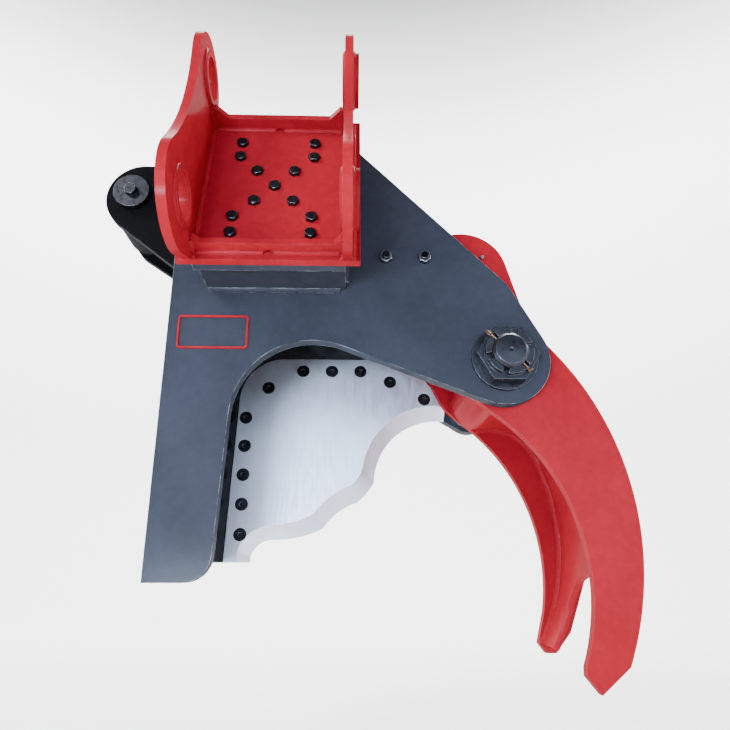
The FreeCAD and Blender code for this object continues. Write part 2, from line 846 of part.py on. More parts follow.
def make_cylinder_lugs():
    """Two lug plates on the back web, on either side of the cylinder's base eye."""
    foot = d.plate_left + d.back_web_inset
    hole = [(d.lug_pin_x, d.lug_pin_z, d.base_pin_radius + d.fit_clearance)]
    lugs = (
        ("front_cylinder_lug", middle_y - d.lug_gap / 2 - d.lug_thick, d.front_lug_radius, d.front_lug_foot),
        ("rear_cylinder_lug", middle_y + d.lug_gap / 2, d.rear_lug_radius, d.rear_lug_foot),
    )
    for name, front, radius, foot_low in lugs:
        outline = wrap([
            (d.lug_round_x, d.lug_round_z, radius),
            (foot, foot_low, 0.0),
            (foot, d.lug_foot_high, 0.0),
        ])
        node(plate_y(name, outline, front, d.lug_thick, hole), name)


def make_base_pin():
    """Cylinder base pin, its keeper disc with a bolt, and rings that centre the base eye."""
    start = middle_y - d.lug_gap / 2 - d.lug_thick - d.base_pin_stand
    length = d.lug_gap + d.lug_thick * 2 + d.base_pin_stand * 2
    pin = ring_y("cylinder_base_pin", d.lug_pin_x, d.lug_pin_z, start, length, d.base_pin_radius, None)
    node(pin, "cylinder_base_pin")
    disc = ring_y("keeper_disc", d.lug_pin_x, d.lug_pin_z, start - d.keeper_thick, d.keeper_thick,
                  d.keeper_radius, None)
    head_y = float(start - d.keeper_thick)
    head = hex_bar("keeper_head", d.keeper_bolt_flats, d.keeper_bolt_height,
                   Placement(Vector(d.lug_pin_x, head_y, d.lug_pin_z), AGAINST_Y))
    node(disc, "base_pin_keeper")
    node(head, "base_pin_keeper_bolt")
    side = (d.lug_gap - d.eye_width) / 2 - d.eye_side_gap
    for name, front in (("front_eye_spacer", middle_y - d.lug_gap / 2),
                        ("rear_eye_spacer", middle_y + d.lug_gap / 2 - side)):
        ring = ring_y(name, d.lug_pin_x, d.lug_pin_z, front, side, d.eye_spacer_radius,
                      d.base_pin_radius + d.fit_clearance)
        node(ring, name)


# Blade with its screws and nuts

def blade_outline(bevel):
    """Blade seen from the front: back edge beside the mouth web, scalloped cutting edge.

    The bevel is 1 on the front face, where the edge is drawn back, and 0 at the cutting land.
    """
    corner, bend = mouth_line(-d.seat_gap)
    tail_x = d.web_tail_x + d.seat_gap
    tail = (tail_x, d.rear_tail_level, 0.0)
    nose_top = float(d.blade_nose_z) + float(d.nose_back_bevel) * bevel
    back = wrap([
        (d.blade_end_x, nose_top, 0.0),
        (d.blade_shoulder_x, d.blade_shoulder_z, 0.0),
        bend,
        corner,
        tail,
    ], closed=False)
    foot_x = float(tail_x) + float(d.edge_foot_width) - float(d.edge_foot_bevel) * bevel
    points = [(foot_x, float(d.rear_tail_level))]
    bulges = []
    for (x, z), bulge, (dx, dz) in EDGE_LOBES:
        points.append((x + dx * bevel, z + dz * bevel))
        bulges.append(bulge)
    points.append((float(d.blade_end_x), float(d.blade_end_z) + float(d.nose_edge_bevel) * bevel))
    bulges.append(0.0)
    edges = list(back)
    edges.append(Part.LineSegment(Vector(tail_x, d.rear_tail_level, 0), Vector(*points[0], 0)))
    for start, end, bulge in zip(points, points[1:], bulges):
        edges.append(bulged(Vector(*start, 0), Vector(*end, 0), bulge))
    nose = Vector(d.blade_end_x, nose_top, 0)
    edges.append(Part.LineSegment(Vector(*points[-1], 0), nose))
    return edges


def bulged(start, end, bulge):
    """Line, or an arc that bulges to the right of the way from start to end."""
    if not bulge:
        return Part.LineSegment(start, end)
    along = (end - start).normalize()
    via = (start + end) / 2 + Vector(along.y, -along.x, 0) * bulge
    return Part.Arc(start, via, end)


def make_blade():
    """Blade lofted from its front face to the cutting land, drilled and countersunk."""
    body = new_body("blade_blank")
    land_front = rear_front - d.blade_edge_land
    front = sketch_in(body, "XZ_Plane", "blade_front", -blade_front)
    front.addGeometry(blade_outline(1.0), False)
    land = sketch_in(body, "XZ_Plane", "blade_land", -land_front)
    land.addGeometry(blade_outline(0.0), False)
    loft = body.newObject("PartDesign::AdditiveLoft", "blade_loft")
    loft.Profile = front
    loft.Sections = [land]
    loft.Ruled = True
    back = sketch_in(body, "XZ_Plane", "blade_back", -rear_front)
    back.addGeometry(blade_outline(0.0), False)
    pad(body, back, d.blade_edge_land)
    drill = screw_shape("blade_drill", d.screw_clearance, rear_back + d.drill_overrun, False)
    places = [Placement(Vector(x, 0, z), Rotation()) for x, z in blade_screw_places()]
    drills = copies("blade_drills", drill, places)
    node(cut_from("shear_blade", body, drills), "shear_blade")


def screw_shape(name, clearance, end, socket):
    """Countersunk screw along +Y from the blade's front face, or its drill when grown."""
    top = float(blade_front)
    head = float(d.screw_head_radius) + clearance
    neck = float(d.screw_radius) + clearance
    depth = float(d.screw_head_depth)
    tip = float(end)
    profile = ((0.0, top), (head, top), (neck, top + depth + clearance), (neck, tip), (0.0, tip))
    body = turned(name, profile, None)
    if not socket:
        return body
    key = hex_bar(f"{name}_key", d.screw_socket_flats, d.screw_socket_depth,
                  Placement(Vector(0, top, 0), ALONG_Y))
    return cut_from(f"{name}_socketed", body, key)


def make_blade_screws():
    """Countersunk screws and the nuts behind the rear side plate."""
    end = rear_back + d.blade_nut_height + d.screw_tip_stand
    screw = screw_shape("blade_screw", 0.0, end, True)
    places = [Placement(Vector(x, 0, z), Rotation()) for x, z in blade_screw_places()]
    node(copies("blade_screws", screw, places), "blade_screws")
    face = Placement(Vector(0, float(rear_back), 0), ALONG_Y)
    hexagon = hex_bar("blade_nut_hexagon", d.blade_nut_flats, d.blade_nut_height, face)
    thread = bar("blade_nut_thread", d.screw_radius + d.thread_clearance, d.blade_nut_height, face)
    nut = cut_from("blade_nut", hexagon, thread)
    node(copies("blade_nuts", nut, places), "blade_nuts")


def make_studs():
    """Two studs in the front side plate, flush inside, with nuts in front."""
    tip = Vector(0, float(d.side_plate_front - d.stud_stand), 0)
    stud = bar("stud", d.stud_radius, d.side_plate_thick + d.stud_stand, Placement(tip, ALONG_Y))
    places = [Placement(Vector(x, 0, z), Rotation()) for x, z in stud_places()]
    node(copies("plate_studs", stud, places), "plate_studs")
    outer = Placement(Vector(0, float(d.side_plate_front), 0), AGAINST_Y)
    hexagon = hex_bar("stud_nut_hexagon", d.stud_nut_flats, d.stud_nut_height, outer)
    thread = bar("stud_nut_thread", d.stud_radius + d.thread_clearance, d.stud_nut_height, outer)
    node(copies("stud_nuts", cut_from("stud_nut", hexagon, thread), places), "stud_nuts")


# Main pivot

def pivot_at(y):
    """Frame on the main pivot's axis, at a depth."""
    return Placement(Vector(d.pivot_x, float(y), d.pivot_z), Rotation())


def make_pivot_pin():
    """Headed pin with a threaded front end, chamfered, centre-drilled and drilled for the cotter."""
    tip = -float(d.pivot_end_stand)
    shoulder = float(d.pivot_shoulder_set)
    rear = float(d.frame_width)
    head = rear + float(d.pivot_head_thick)
    thread = float(d.pivot_thread_radius)
    shank = float(d.pivot_pin_radius)
    chamfer = float(d.pivot_end_chamfer)
    drill = float(d.centre_drill_radius)
    profile = (
        (0.0, tip + drill),
        (drill, tip),
        (thread - chamfer, tip),
        (thread, tip + chamfer),
        (thread, shoulder),
        (shank, shoulder),
        (shank, rear),
        (d.pivot_head_radius, rear),
        (d.pivot_head_radius, head - chamfer),
        (d.pivot_head_radius - chamfer, head),
        (0.0, head),
    )
    body = turned("pivot_pin_blank", profile, pivot_at(d.side_plate_front))
    hole = bar("pivot_cotter_hole", d.cotter_radius + d.fit_clearance, d.cotter_length, cotter_place())
    node(cut_from("main_pivot_pin", body, hole), "main_pivot_pin")


def cotter_place():
    """Cotter across the crown of the nut, leaning up and to the left."""
    crown = float(d.side_plate_front - d.washer_thick - d.nut_height - d.crown_height / 2)
    turn = math.radians(float(d.cotter_turn))
    along = Vector(math.cos(turn), 0, math.sin(turn))
    start = Vector(d.pivot_x, crown, d.pivot_z) - along * (float(d.cotter_length) / 2)
    return Placement(start, Rotation(Vector(0, 0, 1), along))


def make_castle_nut():
    """Hexagon nut with a slotted crown."""
    base = float(d.side_plate_front - d.washer_thick)
    hexagon = hex_bar("castle_hexagon", d.nut_flats, d.nut_height,
                      Placement(Vector(d.pivot_x, base, d.pivot_z), AGAINST_Y))
    crown_base = base - float(d.nut_height)
    crown = bar("castle_crown", d.crown_radius, d.crown_height,
                Placement(Vector(d.pivot_x, crown_base, d.pivot_z), AGAINST_Y))
    blank = joined("castle_blank", [hexagon, crown])
    tools = [bar("castle_thread", d.pivot_thread_radius + d.thread_clearance,
                 d.nut_height + d.crown_height,
                 Placement(Vector(d.pivot_x, base, d.pivot_z), AGAINST_Y))]
    for i in range(3):
        slot = doc.addObject("Part::Box", f"castle_slot_{i}")
        slot.Length = 4 * float(d.crown_radius)
        slot.Width = float(d.crown_slot_width)
        slot.Height = float(d.crown_height)
        slot.setExpression("Width", formula_of(d.crown_slot_width))
        slot.setExpression("Height", formula_of(d.crown_height))
        turn = float(d.cotter_turn) + 60 * i
        centre = Vector(-2 * float(d.crown_radius), -float(d.crown_slot_width) / 2, 0)
        spin = Placement(Vector(0, 0, 0), Rotation(Vector(0, 0, 1), turn))
        out = Placement(Vector(d.pivot_x, crown_base, d.pivot_z), AGAINST_Y)
        slot.Placement = out * spin * Placement(centre, Rotation())
        tools.append(slot)
    tool = joined("castle_tools", tools)
    node(cut_from("castle_nut", blank, tool), "castle_nut")


def make_pivot_small_parts():
    """Washer, cotter, rear spacer and front thrust ring on the main pivot."""
    x = d.pivot_x
    z = d.pivot_z
    washer = ring_y("pivot_washer", x, z, d.side_plate_front - d.washer_thick, d.washer_thick,
                    d.washer_radius, d.pivot_thread_radius + d.bolt_clearance)
    node(washer, "pivot_washer")
    node(bar("cotter_pin", d.cotter_radius, d.cotter_length, cotter_place()), "cotter_pin")
    hole = d.pivot_pin_radius + d.fit_clearance
    spacer = ring_y("rear_pivot_spacer", x, z, claw_back + d.thrust_gap,
                    rear_front - claw_back - d.thrust_gap, d.spacer_radius, hole)
    node(spacer, "rear_pivot_spacer")
    thrust = ring_y("front_thrust_ring", x, z, plate_back, d.claw_side_gap - d.thrust_gap,
                    d.spacer_radius, hole)
    node(thrust, "front_thrust_ring")


# Claw

def claw_outline(lobe, inner, inner_turn, tip, outer_turn):
    """Boomerang claw plate: crank lug, lobe by the hub, inner arc, tip and outer arc.

    The tip's corners are counted from the end of the inner arc; both arcs end at a turn.
    """
    x, z, radius = inner
    end_x, end_z = polar(x, z, radius, float(inner_turn))
    outer = (d.outer_arc_x, d.outer_arc_z, d.outer_arc_radius)
    corners = [(end_x + dx, end_z + dz, 0.0) for dx, dz in tip]
    return wrap([
        (d.crank_x, d.crank_z, d.crank_lug_radius),
        lobe,
        (x, z, -radius),
        *corners,
        (*polar(*outer, float(outer_turn)), 0.0),
        outer,
        (d.neck_arc_x, d.neck_arc_z, -d.neck_arc_radius),
    ])


def make_claw_plates():
    """Front plate with a pointed tip and rear plate with a shorter, blunt one."""
    holes = [
        (d.pivot_x, d.pivot_z, d.bush_radius),
        (d.crank_pin_x, d.crank_pin_z, d.crank_pin_radius + d.press_clearance),
    ]
    hub = (d.pivot_x, d.pivot_z, d.claw_hub_radius)
    inner = (d.inner_arc_x, d.inner_arc_z, d.inner_arc_radius)
    front = claw_outline(hub, inner, d.front_tip_inner_turn, FRONT_TIP, d.front_tip_outer_turn)
    node(plate_y("front_claw_plate", front, claw_front, d.claw_plate_thick, holes), "front_claw_plate")
    lobe = (d.rear_lobe_x, d.rear_lobe_z, d.rear_lobe_radius)
    inner = (d.rear_inner_arc_x, d.rear_inner_arc_z, d.rear_inner_arc_radius)
    rear = claw_outline(lobe, inner, d.rear_tip_inner_turn, REAR_TIP, d.rear_tip_outer_turn)
    node(plate_y("rear_claw_plate", rear, claw_inner_back, d.claw_plate_thick, holes), "rear_claw_plate")


def make_claw_web():
    """Curved web between the claw plates, from beside the tips up to the underside of the hub."""
    half = d.claw_web_thick / 2
    hub = d.hub_radius
    main = (d.claw_web_x, d.claw_web_z)
    bend = (d.claw_web_bend_x, d.claw_web_bend_z)
    pivot = (d.pivot_x, d.pivot_z)
    root = float(d.claw_web_root_turn)
    tip = float(d.claw_web_tip_turn)
    reach = d.claw_web_radius
    root_out = polar(*pivot, hub + half * 2, root)
    root_in = polar(*pivot, hub, root)
    tip_in = polar(*main, reach - half, tip)
    tip_out = polar(*main, reach + half, tip)
    bend_radius = d.claw_web_bend_radius
    outline = wrap([
        (*root_in, 0.0),
        (*root_out, 0.0),
        (*pivot, hub + half * 2),
        (*bend, -(bend_radius - half)),
        (*main, -(reach - half)),
        (*tip_in, 0.0),
        (*tip_out, 0.0),
        (*main, reach + half),
        (*bend, bend_radius + half),
        (*pivot, -hub),
    ])
    width = claw_inner_back - claw_inner_front
    node(plate_y("claw_web", outline, claw_inner_front, width), "claw_web")


def make_claw_hub():
    """Hub tube between the plates, and the two bushes that run on the pivot pin."""
    x = d.pivot_x
    z = d.pivot_z
    width = claw_inner_back - claw_inner_front
    tube = ring_y("claw_hub_tube", x, z, claw_inner_front, width, d.hub_radius, d.bush_radius)
    node(tube, "claw_hub_tube")
    outer = d.bush_radius - d.press_clearance
    inner = d.pivot_pin_radius + d.fit_clearance
    for name, front in (("front_hub_bush", claw_front), ("rear_hub_bush", claw_back - d.bush_length)):
        node(ring_y(name, x, z, front, d.bush_length, outer, inner), name)


def make_crank():
    """Crank pin, the bosses beside the rod eye, the crank web and a grease nipple."""
    x = d.crank_pin_x
    z = d.crank_pin_z
    width = claw_back - claw_front
    node(ring_y("crank_pin", x, z, claw_front, width, d.crank_pin_radius, None), "crank_pin")
    room = (claw_inner_back - claw_inner_front - d.eye_width) / 2 - d.eye_side_gap
    hole = d.crank_pin_radius + d.press_clearance
    for name, front in (("front_crank_boss", claw_inner_front), ("rear_crank_boss", claw_inner_back - room)):
        node(ring_y(name, x, z, front, room, d.crank_boss_radius, hole), name)
    line = [(d.crank_web_low_x, d.crank_web_low_z), (d.crank_web_high_x, d.crank_web_high_z)]
    web = strip(line, Size(0.0, "0"), d.crank_web_thick)
    full = claw_inner_back - claw_inner_front
    node(plate_y("crank_web", web, claw_inner_front, full), "crank_web")
    nipple = ring_y("grease_nipple", d.nipple_x, d.nipple_z, claw_front - d.nipple_height,
                    d.nipple_height, d.nipple_radius, None)
    node(nipple, "grease_nipple")


# Hydraulic cylinder, drawn along X from the base pin and then turned towards the crank pin

def cylinder_frame():
    """Placement of the cylinder's own frame, and the distance from the base pin to the rod eye."""
    dx = float(d.crank_pin_x) - float(d.lug_pin_x)
    dz = float(d.crank_pin_z) + float(d.rod_eye_lift) - float(d.lug_pin_z)
    lean = math.degrees(math.atan2(dz, dx))
    place = Placement(Vector(d.lug_pin_x, float(middle_y), d.lug_pin_z), Rotation(Vector(0, 1, 0), -lean))
    return place, math.hypot(dx, dz)


def make_barrel(place):
    """Barrel with its base, neck, port holes and saddle on the base eye."""
    neck = d.barrel_neck_radius
    outer = d.barrel_radius
    bore = d.bore_radius
    start = d.barrel_start
    inside = start + d.barrel_base_thick
    end = d.barrel_end
    profile = ((0.0, 0.0), (0.0, neck), (start, neck), (start, outer), (end, outer), (end, bore),
               (inside, bore), (inside, 0.0))
    body = turned("barrel_blank", profile, place, "H_Axis")
    eye_cut = bar("barrel_saddle", d.base_eye_radius, d.barrel_radius * 2,
                  place * Placement(Vector(0, -float(outer), 0), ALONG_Y))
    tools = [eye_cut]
    for i, x in enumerate((d.base_port_x, d.rod_port_x)):
        tools.append(bar(f"port_drill_{i}", d.port_bore_radius, outer,
                         place * Placement(Vector(float(x), 0, -float(bore) / 2), DOWNWARD)))
    tool = doc.addObject("Part::Compound", "barrel_tools")
    tool.Links = tools
    node(cut_from("cylinder_barrel", body, tool), "cylinder_barrel")


def make_ports(place):
    """Port bosses under the barrel, saddled on it."""
    height = d.barrel_radius + d.port_height
    bosses = []
    for i, x in enumerate((d.base_port_x, d.rod_port_x)):
        at = place * Placement(Vector(float(x), 0, 0), DOWNWARD)
        outer = bar(f"port_boss_{i}", d.port_radius, height, at)
        hole = bar(f"port_hole_{i}", d.port_bore_radius, height, at)
        bosses.append(cut_from(f"port_ring_{i}", outer, hole))
    both = doc.addObject("Part::Compound", "port_rings")
    both.Links = bosses
    wall = bar("port_saddle", d.barrel_radius, d.barrel_end, place * Placement(Vector(0, 0, 0), ALONG_X))
    node(cut_from("port_bosses", both, wall), "port_bosses")


def make_cylinder_eyes(place, length):
    """Base eye with its bush, and the rod eye."""
    front = -(d.eye_width / 2)
    width = d.eye_width
    bush = d.base_bush_radius
    node(ring_y("barrel_base_eye", 0.0, 0.0, front, width, d.base_eye_radius, bush, place),
         "barrel_base_eye")
    node(ring_y("base_eye_bush", 0.0, 0.0, front, width, bush - d.press_clearance,
                d.base_pin_radius + d.fit_clearance, place), "base_eye_bush")
    at_eye = place * Placement(Vector(length, 0, 0), Rotation())
    node(ring_y("rod_eye", 0.0, 0.0, front, width, d.rod_eye_radius, d.rod_eye_bore, at_eye), "rod_eye")


def make_gland(place):
    """Gland: insert in the bore and a collar over the barrel's end."""
    start = d.barrel_end - d.gland_insert
    end = d.barrel_end
    inner = d.rod_radius + d.fit_clearance
    fit = d.bore_radius - d.fit_clearance
    profile = ((start, inner), (end + d.gland_collar, inner), (end + d.gland_collar, d.gland_radius),
               (end, d.gland_radius), (end, fit), (start, fit))
    node(turned("gland", profile, place, "H_Axis"), "gland")


def make_rod(place, length):
    """Rod with a spigot for the piston, the piston and its nut."""
    spigot = d.rod_spigot_radius
    start = d.piston_start + d.piston_length
    rod = d.rod_radius
    profile = ((d.rod_spigot_start, 0.0), (d.rod_spigot_start, spigot), (start, spigot), (start, rod),
               (length, rod), (length, 0.0))
    body = turned("rod_blank", profile, place, "H_Axis")
    saddle = bar("rod_saddle", d.rod_eye_radius, d.eye_width,
                 place * Placement(Vector(length, -float(d.eye_width) / 2, 0), ALONG_Y))
    node(cut_from("piston_rod", body, saddle), "piston_rod")
    fit = d.bore_radius - d.fit_clearance
    hole = spigot + d.fit_clearance
    piston = turned("piston", ((d.piston_start, hole), (start, hole), (start, fit),
                               (d.piston_start, fit)), place, "H_Axis")
    node(piston, "piston")
    at = place * Placement(Vector(float(d.piston_start - d.piston_nut_height), 0, 0), ALONG_X)
    hexagon = hex_bar("piston_nut_hexagon", d.piston_nut_flats, d.piston_nut_height, at)
    thread = bar("piston_nut_thread", hole, d.piston_nut_height, at)
    node(cut_from("piston_nut", hexagon, thread), "piston_nut")


def build():
    """Makes every sub-part of the shear."""
    make_ears()
    make_ear_bosses()
    make_base_plate()
    make_cross_plate("top_cross_plate", d.link_pin_height - d.top_cross_drop, d.top_cross_depth,
                     d.top_cross_reach, LINK_PIN)
    make_cross_plate("bottom_cross_plate", d.bottom_cross_level, d.bottom_cross_depth,
                     d.bottom_cross_reach, DIPPER_PIN)
    make_bracket_bolts()
    make_adapter()
    make_side_plates()
    make_mouth_web()
    make_back_web()
    make_top_web()
    make_cylinder_lugs()
    make_base_pin()
    make_blade()
    make_blade_screws()
    make_studs()
    make_pivot_pin()
    make_castle_nut()
    make_pivot_small_parts()
    make_claw_plates()
    make_claw_web()
    make_claw_hub()
    make_crank()
    place, length = cylinder_frame()
    make_barrel(place)
    make_ports(place)
    make_cylinder_eyes(place, length)
    make_gland(place)
    make_rod(place, length)
    doc.recompute()


def check():
    """Stops if any object failed or any sub-part has no valid shape."""
    for thing in doc.Objects:
        if "Invalid" in thing.State or "Error" in thing.State:
            raise RuntimeError(f"{thing.Name} did not build: {thing.State}")
    for thing in NODES:
        if thing.Shape.isNull() or not thing.Shape.isValid() or not thing.Shape.Solids:
            raise RuntimeError(f"{thing.Label} has no valid solid")


def write():
    """Writes each sub-part to its own file."""
    os.makedirs("parts", exist_ok=True)
    for thing in NODES:
        thing.Shape.exportStep(f"parts/{thing.Label}.step")
        print(thing.Label, len(thing.Shape.Solids), round(thing.Shape.Volume / 1000.0, 1), "cm3")


build()
check()
write()
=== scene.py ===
import json
import math
import random

import bmesh
import bpy
from mathutils import Matrix, Vector


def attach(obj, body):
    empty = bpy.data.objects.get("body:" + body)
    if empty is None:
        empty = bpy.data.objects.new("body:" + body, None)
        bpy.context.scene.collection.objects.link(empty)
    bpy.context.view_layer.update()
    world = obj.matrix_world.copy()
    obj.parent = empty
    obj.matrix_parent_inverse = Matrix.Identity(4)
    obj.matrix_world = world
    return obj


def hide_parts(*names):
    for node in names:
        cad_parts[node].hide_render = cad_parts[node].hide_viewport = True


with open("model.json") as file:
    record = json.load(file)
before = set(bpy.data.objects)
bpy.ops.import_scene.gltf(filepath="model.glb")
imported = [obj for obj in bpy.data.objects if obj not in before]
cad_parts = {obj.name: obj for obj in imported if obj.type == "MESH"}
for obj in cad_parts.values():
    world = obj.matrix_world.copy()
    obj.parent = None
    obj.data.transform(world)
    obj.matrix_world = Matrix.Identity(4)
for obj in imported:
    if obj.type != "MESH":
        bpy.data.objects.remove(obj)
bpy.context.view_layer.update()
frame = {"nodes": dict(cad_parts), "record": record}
nodes = frame["nodes"]


# Camera, stage and lights, in metres and degrees

PHOTO_SIDE_PIXELS = 730
FOCAL_PIXELS = 620
SHIFT_PIXELS = 40
SENSOR_WIDTH = 36.0
CAMERA_PLACE = (0.11366, -0.69514, -0.46613)
CAMERA_PITCH = 15.505
CAMERA_YAW = -1.386

FLOOR = -0.72
SWEEP_CENTRE = (0.1, 0.3)
SWEEP_MIDDLE = 0.02
SWEEP_FLAT = 3.4
SWEEP_RADIUS = 1.6
SWEEP_TOP = 6.5
SWEEP_SIDES = 96
SWEEP_OPEN_SIDES = range(60, 84)
SWEEP_WHOLE_ROWS = 4
SWEEP_CURVE_STEPS = 12

PART_MIDDLE = (0.1, 0.3, -0.15)
WHITE_LIGHT = (1.0, 1.0, 1.0)
BLUISH_LIGHT = (0.66, 0.80, 1.0)
SKY = (0.86, 0.88, 0.92)
SKY_STRENGTH = 0.2


def add_camera():
    """Camera low in front of the mouth, looking up and slightly to the right."""
    data = bpy.data.cameras.new("camera")
    data.sensor_width = SENSOR_WIDTH
    data.lens = SENSOR_WIDTH * FOCAL_PIXELS / PHOTO_SIDE_PIXELS
    data.shift_y = SHIFT_PIXELS / PHOTO_SIDE_PIXELS
    camera = bpy.data.objects.new("camera", data)
    camera.location = CAMERA_PLACE
    camera.rotation_euler = (math.radians(90 + CAMERA_PITCH), 0, math.radians(CAMERA_YAW))
    bpy.context.scene.collection.objects.link(camera)
    bpy.context.scene.camera = camera


def sweep_profile():
    """Section of the sweep as (reach, height), from its middle outwards and up."""
    path = [(SWEEP_MIDDLE, FLOOR), (SWEEP_FLAT / 2, FLOOR), (SWEEP_FLAT, FLOOR)]
    for i in range(1, SWEEP_CURVE_STEPS + 1):
        turn = math.radians(90 * i / SWEEP_CURVE_STEPS)
        reach = SWEEP_FLAT + SWEEP_RADIUS * math.sin(turn)
        path.append((reach, FLOOR + SWEEP_RADIUS * (1 - math.cos(turn))))
    path.append((SWEEP_FLAT + SWEEP_RADIUS, SWEEP_TOP))
    return path


def sweep_paper():
    """Pale matt paper with a faint glow."""
    material = new_material("sweep_paper")
    shader = shader_of(material)
    shader.inputs["Base Color"].default_value = (0.72, 0.72, 0.72, 1)
    shader.inputs["Emission Color"].default_value = (1.0, 0.99, 0.98, 1)
    shader.inputs["Emission Strength"].default_value = 0.12
    shader.inputs["Roughness"].default_value = 0.9
    return material


def add_stage():
    """Round pale floor that sweeps up into a wall, with an opening in the wall at the front."""
    path = sweep_profile()
    verts = []
    for reach, height in path:
        for k in range(SWEEP_SIDES):
            verts.append((*on_circle(SWEEP_CENTRE, reach, 2 * math.pi * k / SWEEP_SIDES), height))
    faces = [tuple(range(SWEEP_SIDES))]
    for i in range(len(path) - 1):
        low = i * SWEEP_SIDES
        high = low + SWEEP_SIDES
        for k in range(SWEEP_SIDES):
            m = (k + 1) % SWEEP_SIDES
            if i < SWEEP_WHOLE_ROWS or k not in SWEEP_OPEN_SIDES:
                faces.append((low + k, high + k, high + m, low + m))
    mesh = bpy.data.meshes.new("sweep")
    mesh.from_pydata(verts, [], faces)
    mesh.polygons.foreach_set("use_smooth", [True] * len(faces))
    mesh.materials.append(sweep_paper())
    sweep = bpy.data.objects.new("sweep", mesh)
    bpy.context.scene.collection.objects.link(sweep)


def add_light(name, place, target, size, power, colour=WHITE_LIGHT):
    """Rectangular soft light at a place, turned towards a target."""
    data = bpy.data.lights.new(name, "AREA")
    data.shape = "RECTANGLE"
    data.size, data.size_y = size
    data.energy = power
    data.color = colour
    light = bpy.data.objects.new(name, data)
    light.location = place
    light.rotation_euler = (Vector(target) - Vector(place)).to_track_quat("-Z", "Y").to_euler()
    bpy.context.scene.collection.objects.link(light)


def add_lights():
    """A key from the upper left, cool fills from the front, weak side and top lights, a lit backdrop."""
    add_light("key", (-2.7, -2.1, 2.3), PART_MIDDLE, (1.2, 1.2), 230)
    add_light("low_front", (0.3, -3.0, 0.0), (0.1, 0.3, -0.2), (4.2, 1.5), 120, BLUISH_LIGHT)
    add_light("low_left", (-0.45, -1.5, -0.6), (-0.12, 0.18, -0.42), (0.5, 0.3), 48, BLUISH_LIGHT)
    add_light("right", (2.8, -0.6, 0.6), PART_MIDDLE, (1.2, 1.8), 18)
    add_light("top", (0.0, 0.9, 2.8), PART_MIDDLE, (2.6, 1.8), 40)
    add_light("backdrop", (0.0, 1.8, 4.2), (0.0, 4.8, 0.2), (6.0, 1.5), 1300)
    world = bpy.data.worlds.new("studio")
    world.use_nodes = True
    sky = world.node_tree.nodes["Background"]
    sky.inputs["Color"].default_value = (*SKY, 1)
    sky.inputs["Strength"].default_value = SKY_STRENGTH
    bpy.context.scene.world = world


# Materials, with colours as linear red, green and blue, and distances in metres

# In each paint, the lighter edge colour and its strength are a painted highlight along the edges
PAINTS = {
    "red_paint": {
        "colour": (0.26, 0.009, 0.015),
        "dark": (0.22, 0.007, 0.012),
        "edge_highlight_colour": (0.42, 0.10, 0.10),
        "edge_highlight_strength": 0.35,
        "rough": (0.48, 0.60),
        "coat": 0.08,
    },
    "slate_paint": {
        "colour": (0.027, 0.030, 0.041),
        "dark": (0.022, 0.024, 0.033),
        "edge_highlight_colour": (0.50, 0.52, 0.57),
        "edge_highlight_strength": 0.8,
        "rough": (0.46, 0.58),
        "coat": 0.10,
    },
    "black_paint": {
        "colour": (0.0045, 0.0045, 0.005),
        "dark": (0.003, 0.003, 0.0035),
        "edge_highlight_colour": (0.14, 0.14, 0.15),
        "edge_highlight_strength": 0.35,
        "rough": (0.40, 0.52),
        "coat": 0.06,
    },
}

# In each metal, the bright edge colour is a painted highlight along its edges
METALS = {
    "blade_steel": {
        "colour": (0.60, 0.64, 0.74),
        "dark": (0.55, 0.59, 0.70),
        "edge_glint_colour": (0.86, 0.88, 0.92),
        "rough": (0.42, 0.54),
        "grain": (260.0, 30.0, 30.0),
    },
    "black_oxide": {
        "colour": (0.044, 0.046, 0.056),
        "dark": (0.027, 0.028, 0.034),
        "edge_glint_colour": (0.22, 0.22, 0.24),
        "rough": (0.26, 0.38),
        "grain": (140.0, 140.0, 140.0),
    },
    "pin_steel": {
        "colour": (0.17, 0.175, 0.19),
        "dark": (0.13, 0.134, 0.145),
        "edge_glint_colour": (0.52, 0.53, 0.56),
        "rough": (0.28, 0.42),
        "grain": (160.0, 160.0, 160.0),
    },
    "hard_chrome": {
        "colour": (0.78, 0.78, 0.80),
        "dark": (0.70, 0.70, 0.72),
        "edge_glint_colour": None,
        "rough": (0.06, 0.14),
        "grain": (30.0, 30.0, 900.0),
    },
    "bronze": {
        "colour": (0.50, 0.30, 0.13),
        "dark": (0.34, 0.19, 0.08),
        "edge_glint_colour": (0.66, 0.44, 0.22),
        "rough": (0.28, 0.46),
        "grain": (30.0, 30.0, 900.0),
    },
    "spring_steel": {
        "colour": (0.20, 0.13, 0.09),
        "dark": (0.11, 0.07, 0.05),
        "edge_glint_colour": (0.34, 0.24, 0.18),
        "rough": (0.40, 0.60),
        "grain": (30.0, 30.0, 900.0),
    },
}

PAINT_EDGE = 0.0012
# How far the painted edge highlight on paint reaches in from an edge
PAINT_HIGHLIGHT_REACH = 0.0014
METAL_EDGE = 0.0008
# How far the painted edge highlight on metal reaches in from an edge, and how strong it is
METAL_HIGHLIGHT_REACH = 0.0012
METAL_EDGE_HIGHLIGHT = 0.7
SPECKLE = (0.80, 0.80, 0.80)
SPECKLE_SHARE = 0.35
BEVEL_SAMPLES = 6


def shader_of(material):
    """The material's Principled shader."""
    return material.node_tree.nodes["Principled BSDF"]


def new_material(name):
    material = bpy.data.materials.new(name)
    material.use_nodes = True
    return material


def add_node(material, kind, **settings):
    """A new node of a kind, with its settings."""
    made = material.node_tree.nodes.new(kind)
    for key, value in settings.items():
        setattr(made, key, value)
    return made


def feed(material, socket, value):
    """Link another node's output to a socket, or set a number or a colour on it."""
    if isinstance(value, bpy.types.NodeSocket):
        material.node_tree.links.new(value, socket)
    elif isinstance(value, tuple):
        socket.default_value = (*value, 1)
    else:
        socket.default_value = value


